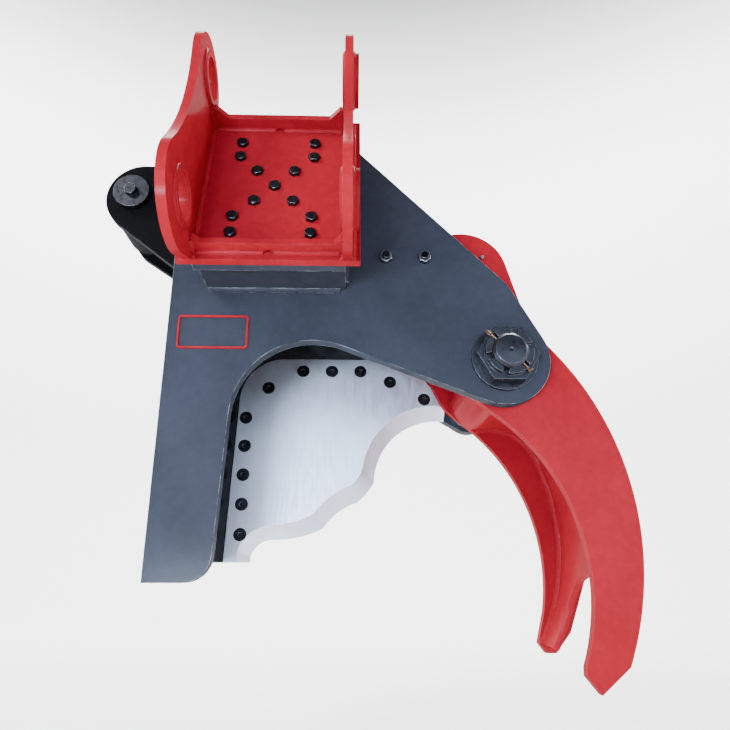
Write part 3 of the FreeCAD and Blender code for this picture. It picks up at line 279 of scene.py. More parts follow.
def noise(material, scale, detail, rough, grain=None):
    """A noise in the object's own metres; grain squeezes it along each axis."""
    place = add_node(material, "ShaderNodeTexCoord").outputs["Object"]
    if grain:
        mapping = add_node(material, "ShaderNodeMapping")
        mapping.inputs["Scale"].default_value = grain
        feed(material, mapping.inputs["Vector"], place)
        place = mapping.outputs["Vector"]
    made = add_node(material, "ShaderNodeTexNoise")
    made.inputs["Scale"].default_value = scale
    made.inputs["Detail"].default_value = detail
    made.inputs["Roughness"].default_value = rough
    feed(material, made.inputs["Vector"], place)
    return made.outputs["Fac"]


def ramp(material, source, *stops):
    """Colour ramp with two stops of (place, colour)."""
    made = add_node(material, "ShaderNodeValToRGB")
    for element, (place, colour) in zip(made.color_ramp.elements, stops):
        element.position = place
        element.color = (*colour, 1)
    feed(material, made.inputs["Fac"], source)
    return made.outputs["Color"]


def mix(material, factor, first, second, blend="MIX"):
    """Mix of two colours, each a socket or a colour."""
    made = add_node(material, "ShaderNodeMix", data_type="RGBA", blend_type=blend)
    # A Mix node's sockets for colours are inputs 0, 6 and 7 and output 2
    for place, value in ((0, factor), (6, first), (7, second)):
        feed(material, made.inputs[place], value)
    return made.outputs[2]


def spread(material, source, low, high, start=0.3, end=0.7):
    """A socket mapped from start..end to low..high."""
    made = add_node(material, "ShaderNodeMapRange")
    for key, value in (("From Min", start), ("From Max", end), ("To Min", low), ("To Max", high)):
        made.inputs[key].default_value = value
    feed(material, made.inputs["Value"], source)
    return made.outputs["Result"]


def product(material, first, second):
    """Two sockets multiplied, or a socket and a number."""
    made = add_node(material, "ShaderNodeMath", operation="MULTIPLY")
    feed(material, made.inputs[0], first)
    feed(material, made.inputs[1], second)
    return made.outputs["Value"]


def soft_normal(material, radius):
    """The normal with edges rounded off over a radius."""
    bevel = add_node(material, "ShaderNodeBevel", samples=BEVEL_SAMPLES)
    bevel.inputs["Radius"].default_value = radius
    return bevel.outputs["Normal"]


def edge_mask(material, radius):
    """1 near sharp edges and 0 on flat faces, from the difference of the rounded and true normal."""
    truth = add_node(material, "ShaderNodeNewGeometry").outputs["Normal"]
    dot = add_node(material, "ShaderNodeVectorMath", operation="DOT_PRODUCT")
    feed(material, dot.inputs[0], soft_normal(material, radius))
    feed(material, dot.inputs[1], truth)
    return spread(material, dot.outputs["Value"], low=1.0, high=0.0, start=0.80, end=0.995)


def bump(material, edge, *layers):
    """Bump from (socket, strength, distance) layers over slightly rounded edges."""
    normal = soft_normal(material, edge)
    for source, strength, distance in layers:
        made = add_node(material, "ShaderNodeBump")
        made.inputs["Strength"].default_value = strength
        made.inputs["Distance"].default_value = distance
        feed(material, made.inputs["Height"], source)
        feed(material, made.inputs["Normal"], normal)
        normal = made.outputs["Normal"]
    feed(material, shader_of(material).inputs["Normal"], normal)


def paint(name, colour, dark, edge_highlight_colour, edge_highlight_strength, rough, coat):
    """Sprayed paint over steel plate: uneven tone, orange peel, and a painted highlight along the edges,
    mottled by noise.
    """
    material = new_material(name)
    shader = shader_of(material)
    broad = noise(material, scale=11.0, detail=5.0, rough=0.60)
    fine = noise(material, scale=85.0, detail=5.0, rough=0.65)
    patches = noise(material, scale=38.0, detail=6.0, rough=0.70)
    dull = noise(material, scale=22.0, detail=4.0, rough=0.60)
    peel = noise(material, scale=420.0, detail=2.0, rough=0.50)
    waves = noise(material, scale=14.0, detail=2.0, rough=0.50)
    tone = ramp(material, broad, (0.32, dark), (0.64, colour))
    speckle = ramp(material, fine, (0.45, SPECKLE), (0.60, (1, 1, 1)))
    tone = mix(material, SPECKLE_SHARE, tone, speckle, "MULTIPLY")
    # Painted highlight: the lighter edge colour laid along sharp edges, mottled by noise
    painted_edge_highlight = spread(material, patches, low=0.0, high=edge_highlight_strength, start=0.42, end=0.62)
    painted_edge_highlight = product(material, edge_mask(material, PAINT_HIGHLIGHT_REACH), painted_edge_highlight)
    feed(material, shader.inputs["Base Color"], mix(material, painted_edge_highlight, tone, edge_highlight_colour))
    feed(material, shader.inputs["Roughness"], spread(material, dull, *rough))
    shader.inputs["Coat Weight"].default_value = coat
    shader.inputs["Coat Roughness"].default_value = 0.2
    shader.inputs["Specular IOR Level"].default_value = 0.0
    bump(material, PAINT_EDGE, (peel, 0.10, 0.0006), (waves, 0.10, 0.003))
    return material


def metal(name, colour, dark, edge_glint_colour, rough, grain):
    """Bare, plated or blackened metal: stained tone, fine marks and a painted highlight along the edges."""
    material = new_material(name)
    shader = shader_of(material)
    stains = noise(material, scale=18.0, detail=6.0, rough=0.60)
    marks = noise(material, scale=1.0, detail=3.0, rough=0.50, grain=grain)
    tone = ramp(material, stains, (0.32, dark), (0.66, colour))
    if edge_glint_colour:
        # Painted highlight: the bright edge colour laid along sharp edges
        painted_edge_highlight = product(material, edge_mask(material, METAL_HIGHLIGHT_REACH), METAL_EDGE_HIGHLIGHT)
        tone = mix(material, painted_edge_highlight, tone, edge_glint_colour)
    feed(material, shader.inputs["Base Color"], tone)
    feed(material, shader.inputs["Roughness"], spread(material, marks, *rough, start=0.35, end=0.65))
    shader.inputs["Metallic"].default_value = 1.0
    bump(material, METAL_EDGE, (marks, 0.06, 0.0004))
    return material


def make_materials():
    """One material for each slot of the record."""
    made = {name: paint(name, **look) for name, look in PAINTS.items()}
    for name, look in METALS.items():
        made[name] = metal(name, **look)
    return made


def dress_nodes():
    """Give each node of the CAD the material of its slot."""
    slots = {entry["node"]: entry["material_slot"] for entry in frame["record"]["subparts"]}
    for name, thing in nodes.items():
        thing.data.materials.clear()
        thing.data.materials.append(materials[slots[name]])


# Sizes in millimetres, as in the source where it has them; a place in a side plate is (x, z)

PIVOT = (343.0, -152.0)
CRANK_PIN = (295.8, -14.9)
BASE_PIN = (-261.0, 166.0)
PLATE_FRONT, PLATE_BACK = 175.0, 195.0
REAR_FRONT, REAR_BACK = 466.0, 486.0

# The tilted bracket has its own y and s, which untilted() turns into the frame's y and z
TILT = math.radians(15.0)
BASE_FACE = 77.0
EAR_IN, EAR_OUT = 102.5, 115.0
LINK_PIN = (15.0, 277.0)
BORE_BOSS = 38.0
EAR_FOOT = range(-32, 265, 24)
TOP_CROSS = (241.4, 251.4)
TOP_CROSS_RISE = 34.0
BOTTOM_CROSS = (-20.0, -10.0)
BOTTOM_CROSS_RISE = 24.0
CROSS_WELD_HALF = 97.0
CROSS_WELD_ROOT = 5.0
DRAIN_HALF = 7.0
WEDGE_HALF = 105.0
WEDGE_FOOT = -42.0
WEDGE_HEIGHTS = range(-30, 204, 18)
WEDGE_BREADTH = range(-103, 104, 20)

# An arc is (x, z, radius)
MOUTH_TAIL = (-111.0, -441.0)
MOUTH_CORNER = (-12.0, -144.5, 85.0)
MOUTH_END = (160.0, -119.5, 60.0)
MOUTH_END_TURNS = (90.0, 68.0)
MOUTH_TAIL_STEPS = 9
MOUTH_WELD_LOW = -372.0
BACK_WEB_FACE = -155.0
BACK_WEB_HEIGHTS = range(-434, 212, 20)
TOP_WEB_LINE = ((-153.0, 229.0), (0.0, 229.0), (92.3, 229.0), (222.7, 96.6))
TOP_WEB_UPS = ((0.0, 1.0), (0.0, 1.0), (0.4, 0.92), (0.712, 0.702))
FRONT_LUG = (245.0, 260.0)
FRONT_LUG_HEIGHTS = range(14, 220, 16)
REAR_LUG = (376.0, 391.0)
REAR_LUG_HEIGHTS = range(36, 220, 16)

CLAW_INNER = (212.0, 424.0)
HUB = 42.0
CRANK_BOSS = 50.0
WEB_HALF = 5.0
WEB_BEND = (372.0, -293.5, 96.0)
WEB_MAIN = (120.0, -406.0, 371.0)
WEB_TIP_TURN = -27.8

# The web's free end is cut back from the front plate by a hyperbola of turn over depth
WEB_CUT_TURN = -8.2
WEB_CUT_DEPTH = 158.0
WEB_CUT_LEFT = 6.0
WEB_CUT_EASE = 5.0
WEB_CUT_STEPS = 24

# Where the web thins out along the hub, in degrees round the pivot, and its last thickness
RUN_OUT_TURN = -152
RUN_OUT_STEP = 8
RUN_OUT_COUNT = 8
RUN_OUT_EDGE = 1.0

# The web's rounded front edge, as (share of its thickness, depth)
WEB_EDGE = ((0.0, 1.6), (0.16, 0.4), (0.5, 0.0), (0.84, 0.4), (1.0, 1.6))

# Plan of the 13 bracket bolts: half the width of each row, with rows along s
BOLT_ROWS = (56.0, 56.0, 28.0, 0.0, 28.0, 56.0, 56.0)
BOLT_FIRST_ROW = 16.0
BOLT_ROW_PITCH = 32.0
STUD_PLACES = ((167.0, 13.0), (227.0, 13.0))
KEEPER_FACE = 230.0
NIPPLE_PLACE = (323.0, 197.0, 28.0)

WASHER_THICK = 6.0
NUT_BODY = 22.0
CROWN_HALF = 5.0
PIN_STANDS_OUT = 44.0

BADGE_X = (-146.0, -40.0)
BADGE_Z = (-139.5, -86.0)
BADGE_RADIUS = 6.0
BADGE_RIM = 3.6
BADGE_STAND = 2.6


# Meshes in millimetres: a shape is a pair of verts and faces

SMOOTH_BELOW = math.radians(38)
HEXAGON_STEPS = 24
HEXAGON_END = 0.475
CHAMFER_AT_FLAT = 0.25
BORE_CHAMFER = 0.6


def add_piece(name, shape, body, slot, smooth=True):
    """A piece of the scene that rides on a body and takes the material of a slot."""
    verts, faces = shape
    mesh = bpy.data.meshes.new(name)
    mesh.from_pydata([Vector(v) / 1000 for v in verts], [], faces)
    mesh.validate()
    mesh.polygons.foreach_set("use_smooth", [smooth] * len(mesh.polygons))
    if smooth:
        mesh.set_sharp_from_angle(angle=SMOOTH_BELOW)
    mesh.materials.append(materials[slot])
    thing = bpy.data.objects.new(name, mesh)
    bpy.context.scene.collection.objects.link(thing)
    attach(thing, body)
    return thing


def face_outwards(thing):
    """Turn all faces of a closed piece outwards."""
    bm = bmesh.new()
    bm.from_mesh(thing.data)
    bmesh.ops.recalc_face_normals(bm, faces=bm.faces)
    bm.to_mesh(thing.data)
    bm.free()


def untilted(x, y, s):
    """A point or direction of the tilted bracket in the part's frame."""
    return Vector((x, y * math.cos(TILT) + s * math.sin(TILT), -y * math.sin(TILT) + s * math.cos(TILT)))


def on_circle(centre, radius, turn):
    """The point at a turn on a circle, in radians."""
    return centre[0] + radius * math.cos(turn), centre[1] + radius * math.sin(turn)


def arc(x, z, radius, start, end, step=3.0):
    """(x, z, outward x, outward z) along an arc, in degrees."""
    count = max(2, int(abs(end - start) / step))
    made = []
    for i in range(count + 1):
        turn = math.radians(start + (end - start) * i / count)
        made.append((*on_circle((x, z), radius, turn), math.cos(turn), math.sin(turn)))
    return made


def strip(wide, count, first=0, closed=False):
    """Faces between rings of wide points each; closed joins the last ring to the first."""
    faces = []
    for i in range(count if closed else count - 1):
        low = first + i * wide
        high = first + (i + 1) % count * wide
        for k in range(wide):
            m = (k + 1) % wide
            faces.append((low + k, low + m, high + m, high + k))
    return faces


def end_caps(wide, count, first=0):
    """Faces that close the first and the last ring."""
    last = first + (count - 1) * wide
    return [tuple(range(first + wide - 1, first - 1, -1)), tuple(range(last, last + wide))]


def lathe(profile, count):
    """A profile of (radius, height) turned about +Z; a radius of 0 closes it."""
    verts = []
    rings = []
    for radius, height in profile:
        wide = count if radius else 1
        rings.append(range(len(verts), len(verts) + wide))
        for k in range(wide):
            verts.append(Vector((*on_circle((0, 0), radius, 2 * math.pi * k / count), height)))
    faces = []
    for low, high in zip(rings, rings[1:]):
        for k in range(count):
            m = (k + 1) % count
            if len(low) == 1:
                faces.append((low[0], high[m], high[k]))
            elif len(high) == 1:
                faces.append((low[k], low[m], high[0]))
            else:
                faces.append((low[k], low[m], high[m], high[k]))
    return verts, faces


def hexagon_ring(flats, at_corner, at_flat):
    """Points along a hexagon, with a height at its corners and one at the middle of its flats."""
    ring = []
    for k in range(HEXAGON_STEPS):
        turn = 2 * math.pi * k / HEXAGON_STEPS
        off = (turn + math.pi / 6) % (math.pi / 3) - math.pi / 6
        share = abs(off) / (math.pi / 6)
        height = at_flat + (at_corner - at_flat) * share * share
        ring.append(Vector((*on_circle((0, 0), flats / 2 / math.cos(off), turn), height)))
    return ring


def round_ring(radius, height):
    """Points along a circle, as many as along a hexagon."""
    turns = [2 * math.pi * k / HEXAGON_STEPS for k in range(HEXAGON_STEPS)]
    return [Vector((*on_circle((0, 0), radius, turn), height)) for turn in turns]


def bolt_head(flats, height, chamfer):
    """Hexagon on z = 0 with its outer corners turned off."""
    rings = [
        hexagon_ring(flats, 0.0, 0.0),
        hexagon_ring(flats, height - chamfer, height - chamfer * CHAMFER_AT_FLAT),
        round_ring(flats * HEXAGON_END, height),
    ]
    verts = [v for ring in rings for v in ring]
    return verts, strip(HEXAGON_STEPS, len(rings)) + end_caps(HEXAGON_STEPS, len(rings))


def nut(flats, height, chamfer, bore):
    """Hexagon nut on z = 0 with the corners of both its ends turned off and an open bore."""
    rings = [
        round_ring(flats * HEXAGON_END, 0.0),
        hexagon_ring(flats, chamfer, chamfer * CHAMFER_AT_FLAT),
        hexagon_ring(flats, height - chamfer, height - chamfer * CHAMFER_AT_FLAT),
        round_ring(flats * HEXAGON_END, height),
        round_ring(bore + BORE_CHAMFER, height),
        round_ring(bore, height - BORE_CHAMFER),
        round_ring(bore, 0.0),
    ]
    verts = [v for ring in rings for v in ring]
    return verts, strip(HEXAGON_STEPS, len(rings), closed=True)


def threaded_end(radius, low, high, pitch=1.5, depth=0.55, chamfer=0.9):
    """Ringed end of a threaded rod with a chamfered tip, from low to high."""
    profile = [(radius - depth, low)]
    z = low
    while z + pitch < high - chamfer:
        profile.append((radius, z + pitch / 2))
        profile.append((radius - depth, z + pitch))
        z += pitch
    profile += [(radius - 0.1, high - chamfer), (radius - chamfer, high), (0.0, high)]
    return lathe(profile, 24)


def tube(path, radius, wide=12):
    """Round tube along points."""
    verts = []
    for i, point in enumerate(path):
        ahead = (path[min(i + 1, len(path) - 1)] - path[max(i - 1, 0)]).normalized()
        side = ahead.cross(Vector((0, 1, 0))).normalized()
        top = side.cross(ahead)
        for k in range(wide):
            turn = 2 * math.pi * k / wide
            verts.append(point + (side * math.cos(turn) + top * math.sin(turn)) * radius)
    return verts, strip(wide, len(path)) + end_caps(wide, len(path))


def facing(place, direction, spin=0.0):
    """Matrix that puts +Z along a direction at a place."""
    turn = Vector(direction).to_track_quat("Z", "Y").to_matrix().to_4x4()
    return Matrix.Translation(Vector(place)) @ turn @ Matrix.Rotation(spin, 4, "Z")


def merged(*parts):
    """One shape out of (shape, matrix) parts."""
    verts = []
    faces = []
    for (some, shapes), matrix in parts:
        base = len(verts)
        verts.extend(matrix @ v for v in some)
        faces.extend(tuple(base + k for k in shape) for shape in shapes)
    return verts, faces


# Welds

BEAD_PITCH = 1.5
BEAD_FACE_STEPS = 5
BEAD_ROOT = 0.25
BEAD_CROWN = 0.224
BEAD_WANDER = 0.042
BEAD_PULSE = 0.03
BEAD_RIPPLES = (0.955, 1.055)
BEAD_UNEVEN = 0.10
BEAD_FOLLOW = 0.35
BEAD_WAVE = 0.11
BEAD_PHASES = 6.0
BOSS_WELD_STEPS = 40

LEFT = Vector((-1, 0, 0))
DOWN = Vector((0, 0, -1))
FORWARD = Vector((0, -1, 0))
BACKWARD = Vector((0, 1, 0))


def fillet(points, side_a, side_b, closed=False):
    """A run of weld: its corner line and the directions along the two plates that it joins.

    A direction is one vector, or a list with one for each point.
    """
    sides = []
    for side in (side_a, side_b):
        side = side if isinstance(side, list) else [side] * len(points)
        sides.append(side + side[:1] if closed else side)
    return points, *sides, closed


def spaced(points, step, closed):
    """Points at even steps along a line, each with its segment and its share of it."""
    line = [Vector(p) for p in points]
    if closed:
        line.append(line[0])
    reach = [0.0]
    for a, b in zip(line, line[1:]):
        reach.append(reach[-1] + (b - a).length)
    count = max(2, int(reach[-1] / step))
    made = []
    place = 0
    for i in range(count if closed else count + 1):
        want = reach[-1] * i / count
        while place < len(line) - 2 and reach[place + 1] < want:
            place += 1
        share = (want - reach[place]) / (reach[place + 1] - reach[place])
        made.append((line[place].lerp(line[place + 1], share), place, share))
    return made


def between(sides, place, share):
    """Direction at a share of the way from one point's to the next one's."""
    ahead = sides[min(place + 1, len(sides) - 1)]
    return sides[place].lerp(ahead, share).normalized()


def bead_section(point, a, b, size, ripple, wander):
    """Section of a bead: its root, and its crowned face from the end of one leg to the other's."""
    crown = size * (BEAD_CROWN * ripple + BEAD_WANDER * wander)
    middle = (a + b).normalized()
    section = [point - (a + b) * BEAD_ROOT]
    for k in range(BEAD_FACE_STEPS + 1):
        share = k / BEAD_FACE_STEPS
        flat = (a * (1 - share) + b * share) * size * (1 - BEAD_PULSE + BEAD_PULSE * ripple)
        section.append(point + flat + middle * crown * math.sin(math.pi * share))
    return section


def bead_shape(runs, width, seed):
    """Fillet welds with a rippled, slightly uneven face."""
    dice = random.Random(seed)
    wide = BEAD_FACE_STEPS + 2
    verts = []
    faces = []
    for points, side_a, side_b, closed in runs:
        first = len(verts)
        phase = dice.random() * BEAD_PHASES
        grow = 1.0
        places = spaced(points, BEAD_PITCH, closed)
        for i, (point, place, share) in enumerate(places):
            a = between(side_a, place, share)
            b = between(side_b, place, share)
            grow += (1.0 + dice.uniform(-BEAD_UNEVEN, BEAD_UNEVEN) - grow) * BEAD_FOLLOW
            wander = math.sin(i * BEAD_WAVE + phase)
            verts += bead_section(point, a, b, width * grow, BEAD_RIPPLES[i % 2], wander)
        faces += strip(wide, len(places), first, closed)
        if not closed:
            faces += end_caps(wide, len(places), first)
    return verts, faces


def add_bead(name, runs, body, slot, width, seed, smooth=True):
    """A piece with all runs of weld of one kind."""
    face_outwards(add_piece(name, bead_shape(runs, width, seed), body, slot, smooth))


def add_ear_welds():
    """Both sides of each ear along the base plate."""
    runs = []
    for side in (-1, 1):
        for face, out in ((EAR_IN, -1), (EAR_OUT, 1)):
            line = [untilted(side * face, BASE_FACE, s) for s in EAR_FOOT]
            runs.append(fillet(line, untilted(0, -1, 0), Vector((side * out, 0, 0))))
    add_bead("ear_welds", runs, "frame", "red_paint", width=5.5, seed=2)


def add_cross_plate_welds():
    """Both sides of each cross plate along the base plate and the ears, open at its drain."""
    runs = []
    for plate, rise in ((TOP_CROSS, TOP_CROSS_RISE), (BOTTOM_CROSS, BOTTOM_CROSS_RISE)):
        for s, away in zip(plate, (-1, 1)):
            off_plate = untilted(0, 0, away)
            for x0, x1 in ((-CROSS_WELD_HALF, -DRAIN_HALF), (DRAIN_HALF, CROSS_WELD_HALF)):
                foot = [untilted(x0, BASE_FACE, s), untilted(x1, BASE_FACE, s)]
                runs.append(fillet(foot, untilted(0, -1, 0), off_plate))
            for side in (-1, 1):
                root = untilted(side * EAR_IN, BASE_FACE - CROSS_WELD_ROOT, s)
                end = untilted(side * EAR_IN, BASE_FACE - rise, s)
                runs.append(fillet([root, end], Vector((-side, 0, 0)), off_plate))
    add_bead("cross_plate_welds", runs, "frame", "red_paint", width=4.5, seed=3)


def add_boss_welds():
    """A ring round each bore boss, on both faces of both ears."""
    turns = [2 * math.pi * k / BOSS_WELD_STEPS for k in range(BOSS_WELD_STEPS)]
    outward = [untilted(0, math.cos(turn), math.sin(turn)) for turn in turns]
    runs = []
    for pin in ((0.0, 0.0), LINK_PIN):
        for side in (-1, 1):
            for face, out in ((EAR_IN, -1), (EAR_OUT, 1)):
                points = [untilted(side * face, *on_circle(pin, BORE_BOSS, turn)) for turn in turns]
                runs.append(fillet(points, outward, Vector((side * out, 0, 0)), closed=True))
    add_bead("boss_welds", runs, "frame", "red_paint", width=3.0, seed=4)


def add_wedge_welds():
    """The wedge adapter's sides and foot along the front side plate."""
    runs = []
    for side in (-1, 1):
        line = [(side * WEDGE_HALF, PLATE_FRONT, z) for z in WEDGE_HEIGHTS]
        runs.append(fillet(line, Vector((side, 0, 0)), FORWARD))
    foot = [(x, PLATE_FRONT, WEDGE_FOOT) for x in WEDGE_BREADTH]
    runs.append(fillet(foot, DOWN, FORWARD))
    add_bead("wedge_welds", runs, "frame", "slate_paint", width=5.5, seed=5)


def mouth_path():
    """The mouth web's inner face as (x, z, outward x, outward z), from its tail to its end."""
    tail = Vector(MOUTH_TAIL)
    centre = Vector(MOUTH_CORNER[:2])
    radius = MOUTH_CORNER[2]
    way = centre - tail
    lead = math.atan2(way.y, way.x) + math.asin(radius / way.length)
    out = Vector((-math.sin(lead), math.cos(lead)))
    start = centre + out * radius
    points = []
    for i in range(MOUTH_TAIL_STEPS):
        p = tail.lerp(start, i / MOUTH_TAIL_STEPS)
        points.append((p.x, p.y, out.x, out.y))
    points += arc(*MOUTH_CORNER, math.degrees(math.atan2(out.y, out.x)), 90.0)
    points += arc(*MOUTH_END, *MOUTH_END_TURNS)
    return points


def add_mouth_web_welds():
    """The mouth web along the back of the front side plate, above its tail."""
    path = [step for step in mouth_path() if step[1] > MOUTH_WELD_LOW]
    line = [(x, PLATE_BACK, z) for x, z, _, _ in path]
    inward = [Vector((-out_x, 0, -out_z)) for _, _, out_x, out_z in path]
    add_bead("mouth_web_welds", [fillet(line, BACKWARD, inward)], "frame", "black_paint", width=5.0, seed=6)


def add_web_welds():
    """The back web and the top web along both side plates."""
    runs = []
    ups = [Vector((x, 0, z)) for x, z in TOP_WEB_UPS]
    for y, inward in ((PLATE_BACK, BACKWARD), (REAR_FRONT, FORWARD)):
        back = [(BACK_WEB_FACE, y, z) for z in BACK_WEB_HEIGHTS]
        runs.append(fillet(back, LEFT, inward))
        runs.append(fillet([(x, y, z) for x, z in TOP_WEB_LINE], ups, inward))
    add_bead("web_welds", runs, "frame", "slate_paint", width=5.0, seed=7)


def add_lug_welds():
    """Both faces of each cylinder lug along the back web."""
    runs = []
    for lug, heights in ((FRONT_LUG, FRONT_LUG_HEIGHTS), (REAR_LUG, REAR_LUG_HEIGHTS)):
        for y, away in zip(lug, (FORWARD, BACKWARD)):
            runs.append(fillet([(BACK_WEB_FACE, y, z) for z in heights], LEFT, away))
    add_bead("lug_welds", runs, "frame", "black_paint", width=6.0, seed=8)


# Claw web and its welds

def cross_tangent(first, second):
    """Where one line touches two circles of (x, z, radius), on opposite sides of it."""
    ax, az, a_radius = first
    bx, bz, b_radius = second
    apart = math.hypot(bx - ax, bz - az)
    lead = math.atan2(bz - az, bx - ax) + math.asin((a_radius + b_radius) / apart)
    normal = Vector((-math.sin(lead), math.cos(lead)))
    return Vector((ax, az)) - normal * a_radius, Vector((bx, bz)) + normal * b_radius


def claw_web_path(offset, last_turn):
    """One face of the claw's web from the hub to a turn of its main arc.

    It is a list of (x, z, normal x, normal z), where the normal leaves the web. The offset is
    negative on the face towards the trunk.
    """
    side = math.copysign(1.0, offset)
    hub_reach = HUB if side > 0 else HUB + 2 * WEB_HALF
    bend = (*WEB_BEND[:2], WEB_BEND[2] + offset)
    main = (*WEB_MAIN[:2], WEB_MAIN[2] + offset)
    leave, land = cross_tangent((*PIVOT, hub_reach), bend)
    along = (land - leave).normalized()
    path = []
    for i in range(4):
        p = leave.lerp(land, i / 4)
        path.append((p.x, p.y, -along.y * side, along.x * side))
    start = math.degrees(math.atan2(land.y - bend[1], land.x - bend[0]))
    apart = math.hypot(bend[0] - main[0], bend[1] - main[1])
    lead = math.atan2(bend[1] - main[1], bend[0] - main[0])
    join = math.degrees(lead - math.acos((main[2] - bend[2]) / apart))
    for x, z, out_x, out_z in arc(*bend, start, join, 4.0) + arc(*main, join, last_turn, 3.0):
        path.append((x, z, out_x * side, out_z * side))
    return path


def claw_web_stations():
    """Sections along the web, as its (x, z) on the trunk's face and on the other, and its front y."""
    front = CLAW_INNER[0]
    stations = []
    for k in range(RUN_OUT_COUNT):
        turn = math.radians(RUN_OUT_TURN + RUN_OUT_STEP * k)
        thick = RUN_OUT_EDGE + (2 * WEB_HALF - RUN_OUT_EDGE) * (k / RUN_OUT_COUNT) ** 1.6
        stations.append((on_circle(PIVOT, HUB + thick, turn), on_circle(PIVOT, HUB, turn), front))
    inner, outer = (claw_web_path(offset, WEB_CUT_TURN) for offset in (-WEB_HALF, WEB_HALF))
    stations += [(a[:2], b[:2], front) for a, b in zip(inner, outer)]
    for k in range(1, WEB_CUT_STEPS + 1):
        left = WEB_CUT_DEPTH * (WEB_CUT_LEFT / WEB_CUT_DEPTH) ** (k / WEB_CUT_STEPS)
        cut = WEB_CUT_DEPTH - left
        turn = math.radians(WEB_CUT_TURN) - WEB_CUT_EASE * cut / left / WEB_MAIN[2]
        a, b = (on_circle(WEB_MAIN, WEB_MAIN[2] + offset, turn) for offset in (-WEB_HALF, WEB_HALF))
        stations.append((a, b, front + cut))
    return stations


def add_claw_web():
    """The claw's web with its free end cut back from the front plate in one hollow curve."""
    back = CLAW_INNER[1]
    stations = claw_web_stations()
    wide = len(WEB_EDGE) + 2
    verts = []
    for (ax, az), (bx, bz), front in stations:
        section = [(share, front + depth) for share, depth in WEB_EDGE] + [(1.0, back), (0.0, back)]
        for share, y in section:
            verts.append((ax + (bx - ax) * share, y, az + (bz - az) * share))
    faces = strip(wide, len(stations)) + end_caps(wide, len(stations))
    web = add_piece("claw_web_plate", (verts, faces), "claw", "red_paint")
    face_outwards(web)
    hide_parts("claw_web")


def add_claw_welds():
    """The web's two faces along both claw plates, and rings round the hub and the crank bosses."""
    runs = []
    for offset in (-WEB_HALF, WEB_HALF):
        for y, away, last_turn in zip(CLAW_INNER, (BACKWARD, FORWARD), (WEB_CUT_TURN, WEB_TIP_TURN)):
            path = claw_web_path(offset, last_turn)
            out = [Vector((nx, 0, nz)) for _, _, nx, nz in path]
            runs.append(fillet([(x, y, z) for x, z, _, _ in path], away, out))
    # Flat shading makes the red paint's painted edge highlight show on the bead's ripples, in place of
    # their gloss highlights
    add_bead("claw_web_welds", runs, "claw", "red_paint", width=7.0, seed=9, smooth=False)
    rings = []
    for centre, radius in ((PIVOT, HUB), (CRANK_PIN, CRANK_BOSS)):
        ring = arc(*centre, radius, 0, 351, 9.0)
        out = [Vector((out_x, 0, out_z)) for _, _, out_x, out_z in ring]
        for y, away in zip(CLAW_INNER, (BACKWARD, FORWARD)):
            rings.append(fillet([(x, y, z) for x, z, _, _ in ring], away, out, closed=True))
    add_bead("claw_hub_welds", rings, "claw", "red_paint", width=4.5, seed=10)


# Fasteners and turned parts

def add_bracket_bolts(dice):
    """Thirteen heads in an X on the bracket's base plate."""
    heads = []
    for row, half in enumerate(BOLT_ROWS):
        for x in sorted({-half, half}):
            place = untilted(x, BASE_FACE, BOLT_FIRST_ROW + BOLT_ROW_PITCH * row)
            at = facing(place, untilted(0, -1, 0), dice.uniform(0, 1.0))
            heads.append((bolt_head(flats=16.0, height=6.4, chamfer=1.3), at))
    bolts = add_piece("bracket_bolt_heads", merged(*heads), "frame", "black_oxide", smooth=False)
    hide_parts("bracket_bolts")


def add_stud_nuts(dice):
    """Two nuts on studs in the front side plate."""
    parts = []
    for x, z in STUD_PLACES:
        place = (x, PLATE_FRONT, z)
        stud_nut = nut(flats=18.0, height=9.6, chamfer=1.4, bore=6.05)
        parts.append((stud_nut, facing(place, FORWARD, dice.uniform(0, 1.0))))
        parts.append((threaded_end(6.0, 0.0, 14.0), facing(place, FORWARD)))
    studs = add_piece("stud_nut_set", merged(*parts), "frame", "pin_steel", smooth=False)
    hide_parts("stud_nuts")


def blade_screw_places():
    """The blade's eleven screws: five down its back, three along its top and three by themselves."""
    places = [(-83.0, -177.0 - 54.0 * i) for i in range(5)]
    places += [(22.5 + 55.0 * i, -84.0) for i in range(3)]
    places += [(-43.0, -118.0), (189.0, -105.0), (254.0, -139.0)]
    return places


def add_blade_nuts(dice):
    """Nuts and screw ends behind the rear side plate."""
    parts = []
    for x, z in blade_screw_places():
        place = (x, REAR_BACK, z)
        blade_nut = nut(flats=18.0, height=9.8, chamfer=1.4, bore=6.05)
        parts.append((blade_nut, facing(place, BACKWARD, dice.uniform(0, 1.0))))
        parts.append((threaded_end(5.9, 6.0, 11.9), facing(place, BACKWARD)))
    nuts = add_piece("blade_nut_set", merged(*parts), "frame", "black_oxide", smooth=False)
    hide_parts("blade_nuts")


def add_keeper_bolt():
    """Head of the bolt that holds the keeper of the cylinder's base pin."""
    at = facing((BASE_PIN[0], KEEPER_FACE, BASE_PIN[1]), FORWARD, 0.3)
    head = bolt_head(flats=19.0, height=7.5, chamfer=1.5)
    top = add_piece("keeper_bolt_head", merged((head, at)), "frame", "black_oxide", smooth=False)
    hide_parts("base_pin_keeper_bolt")


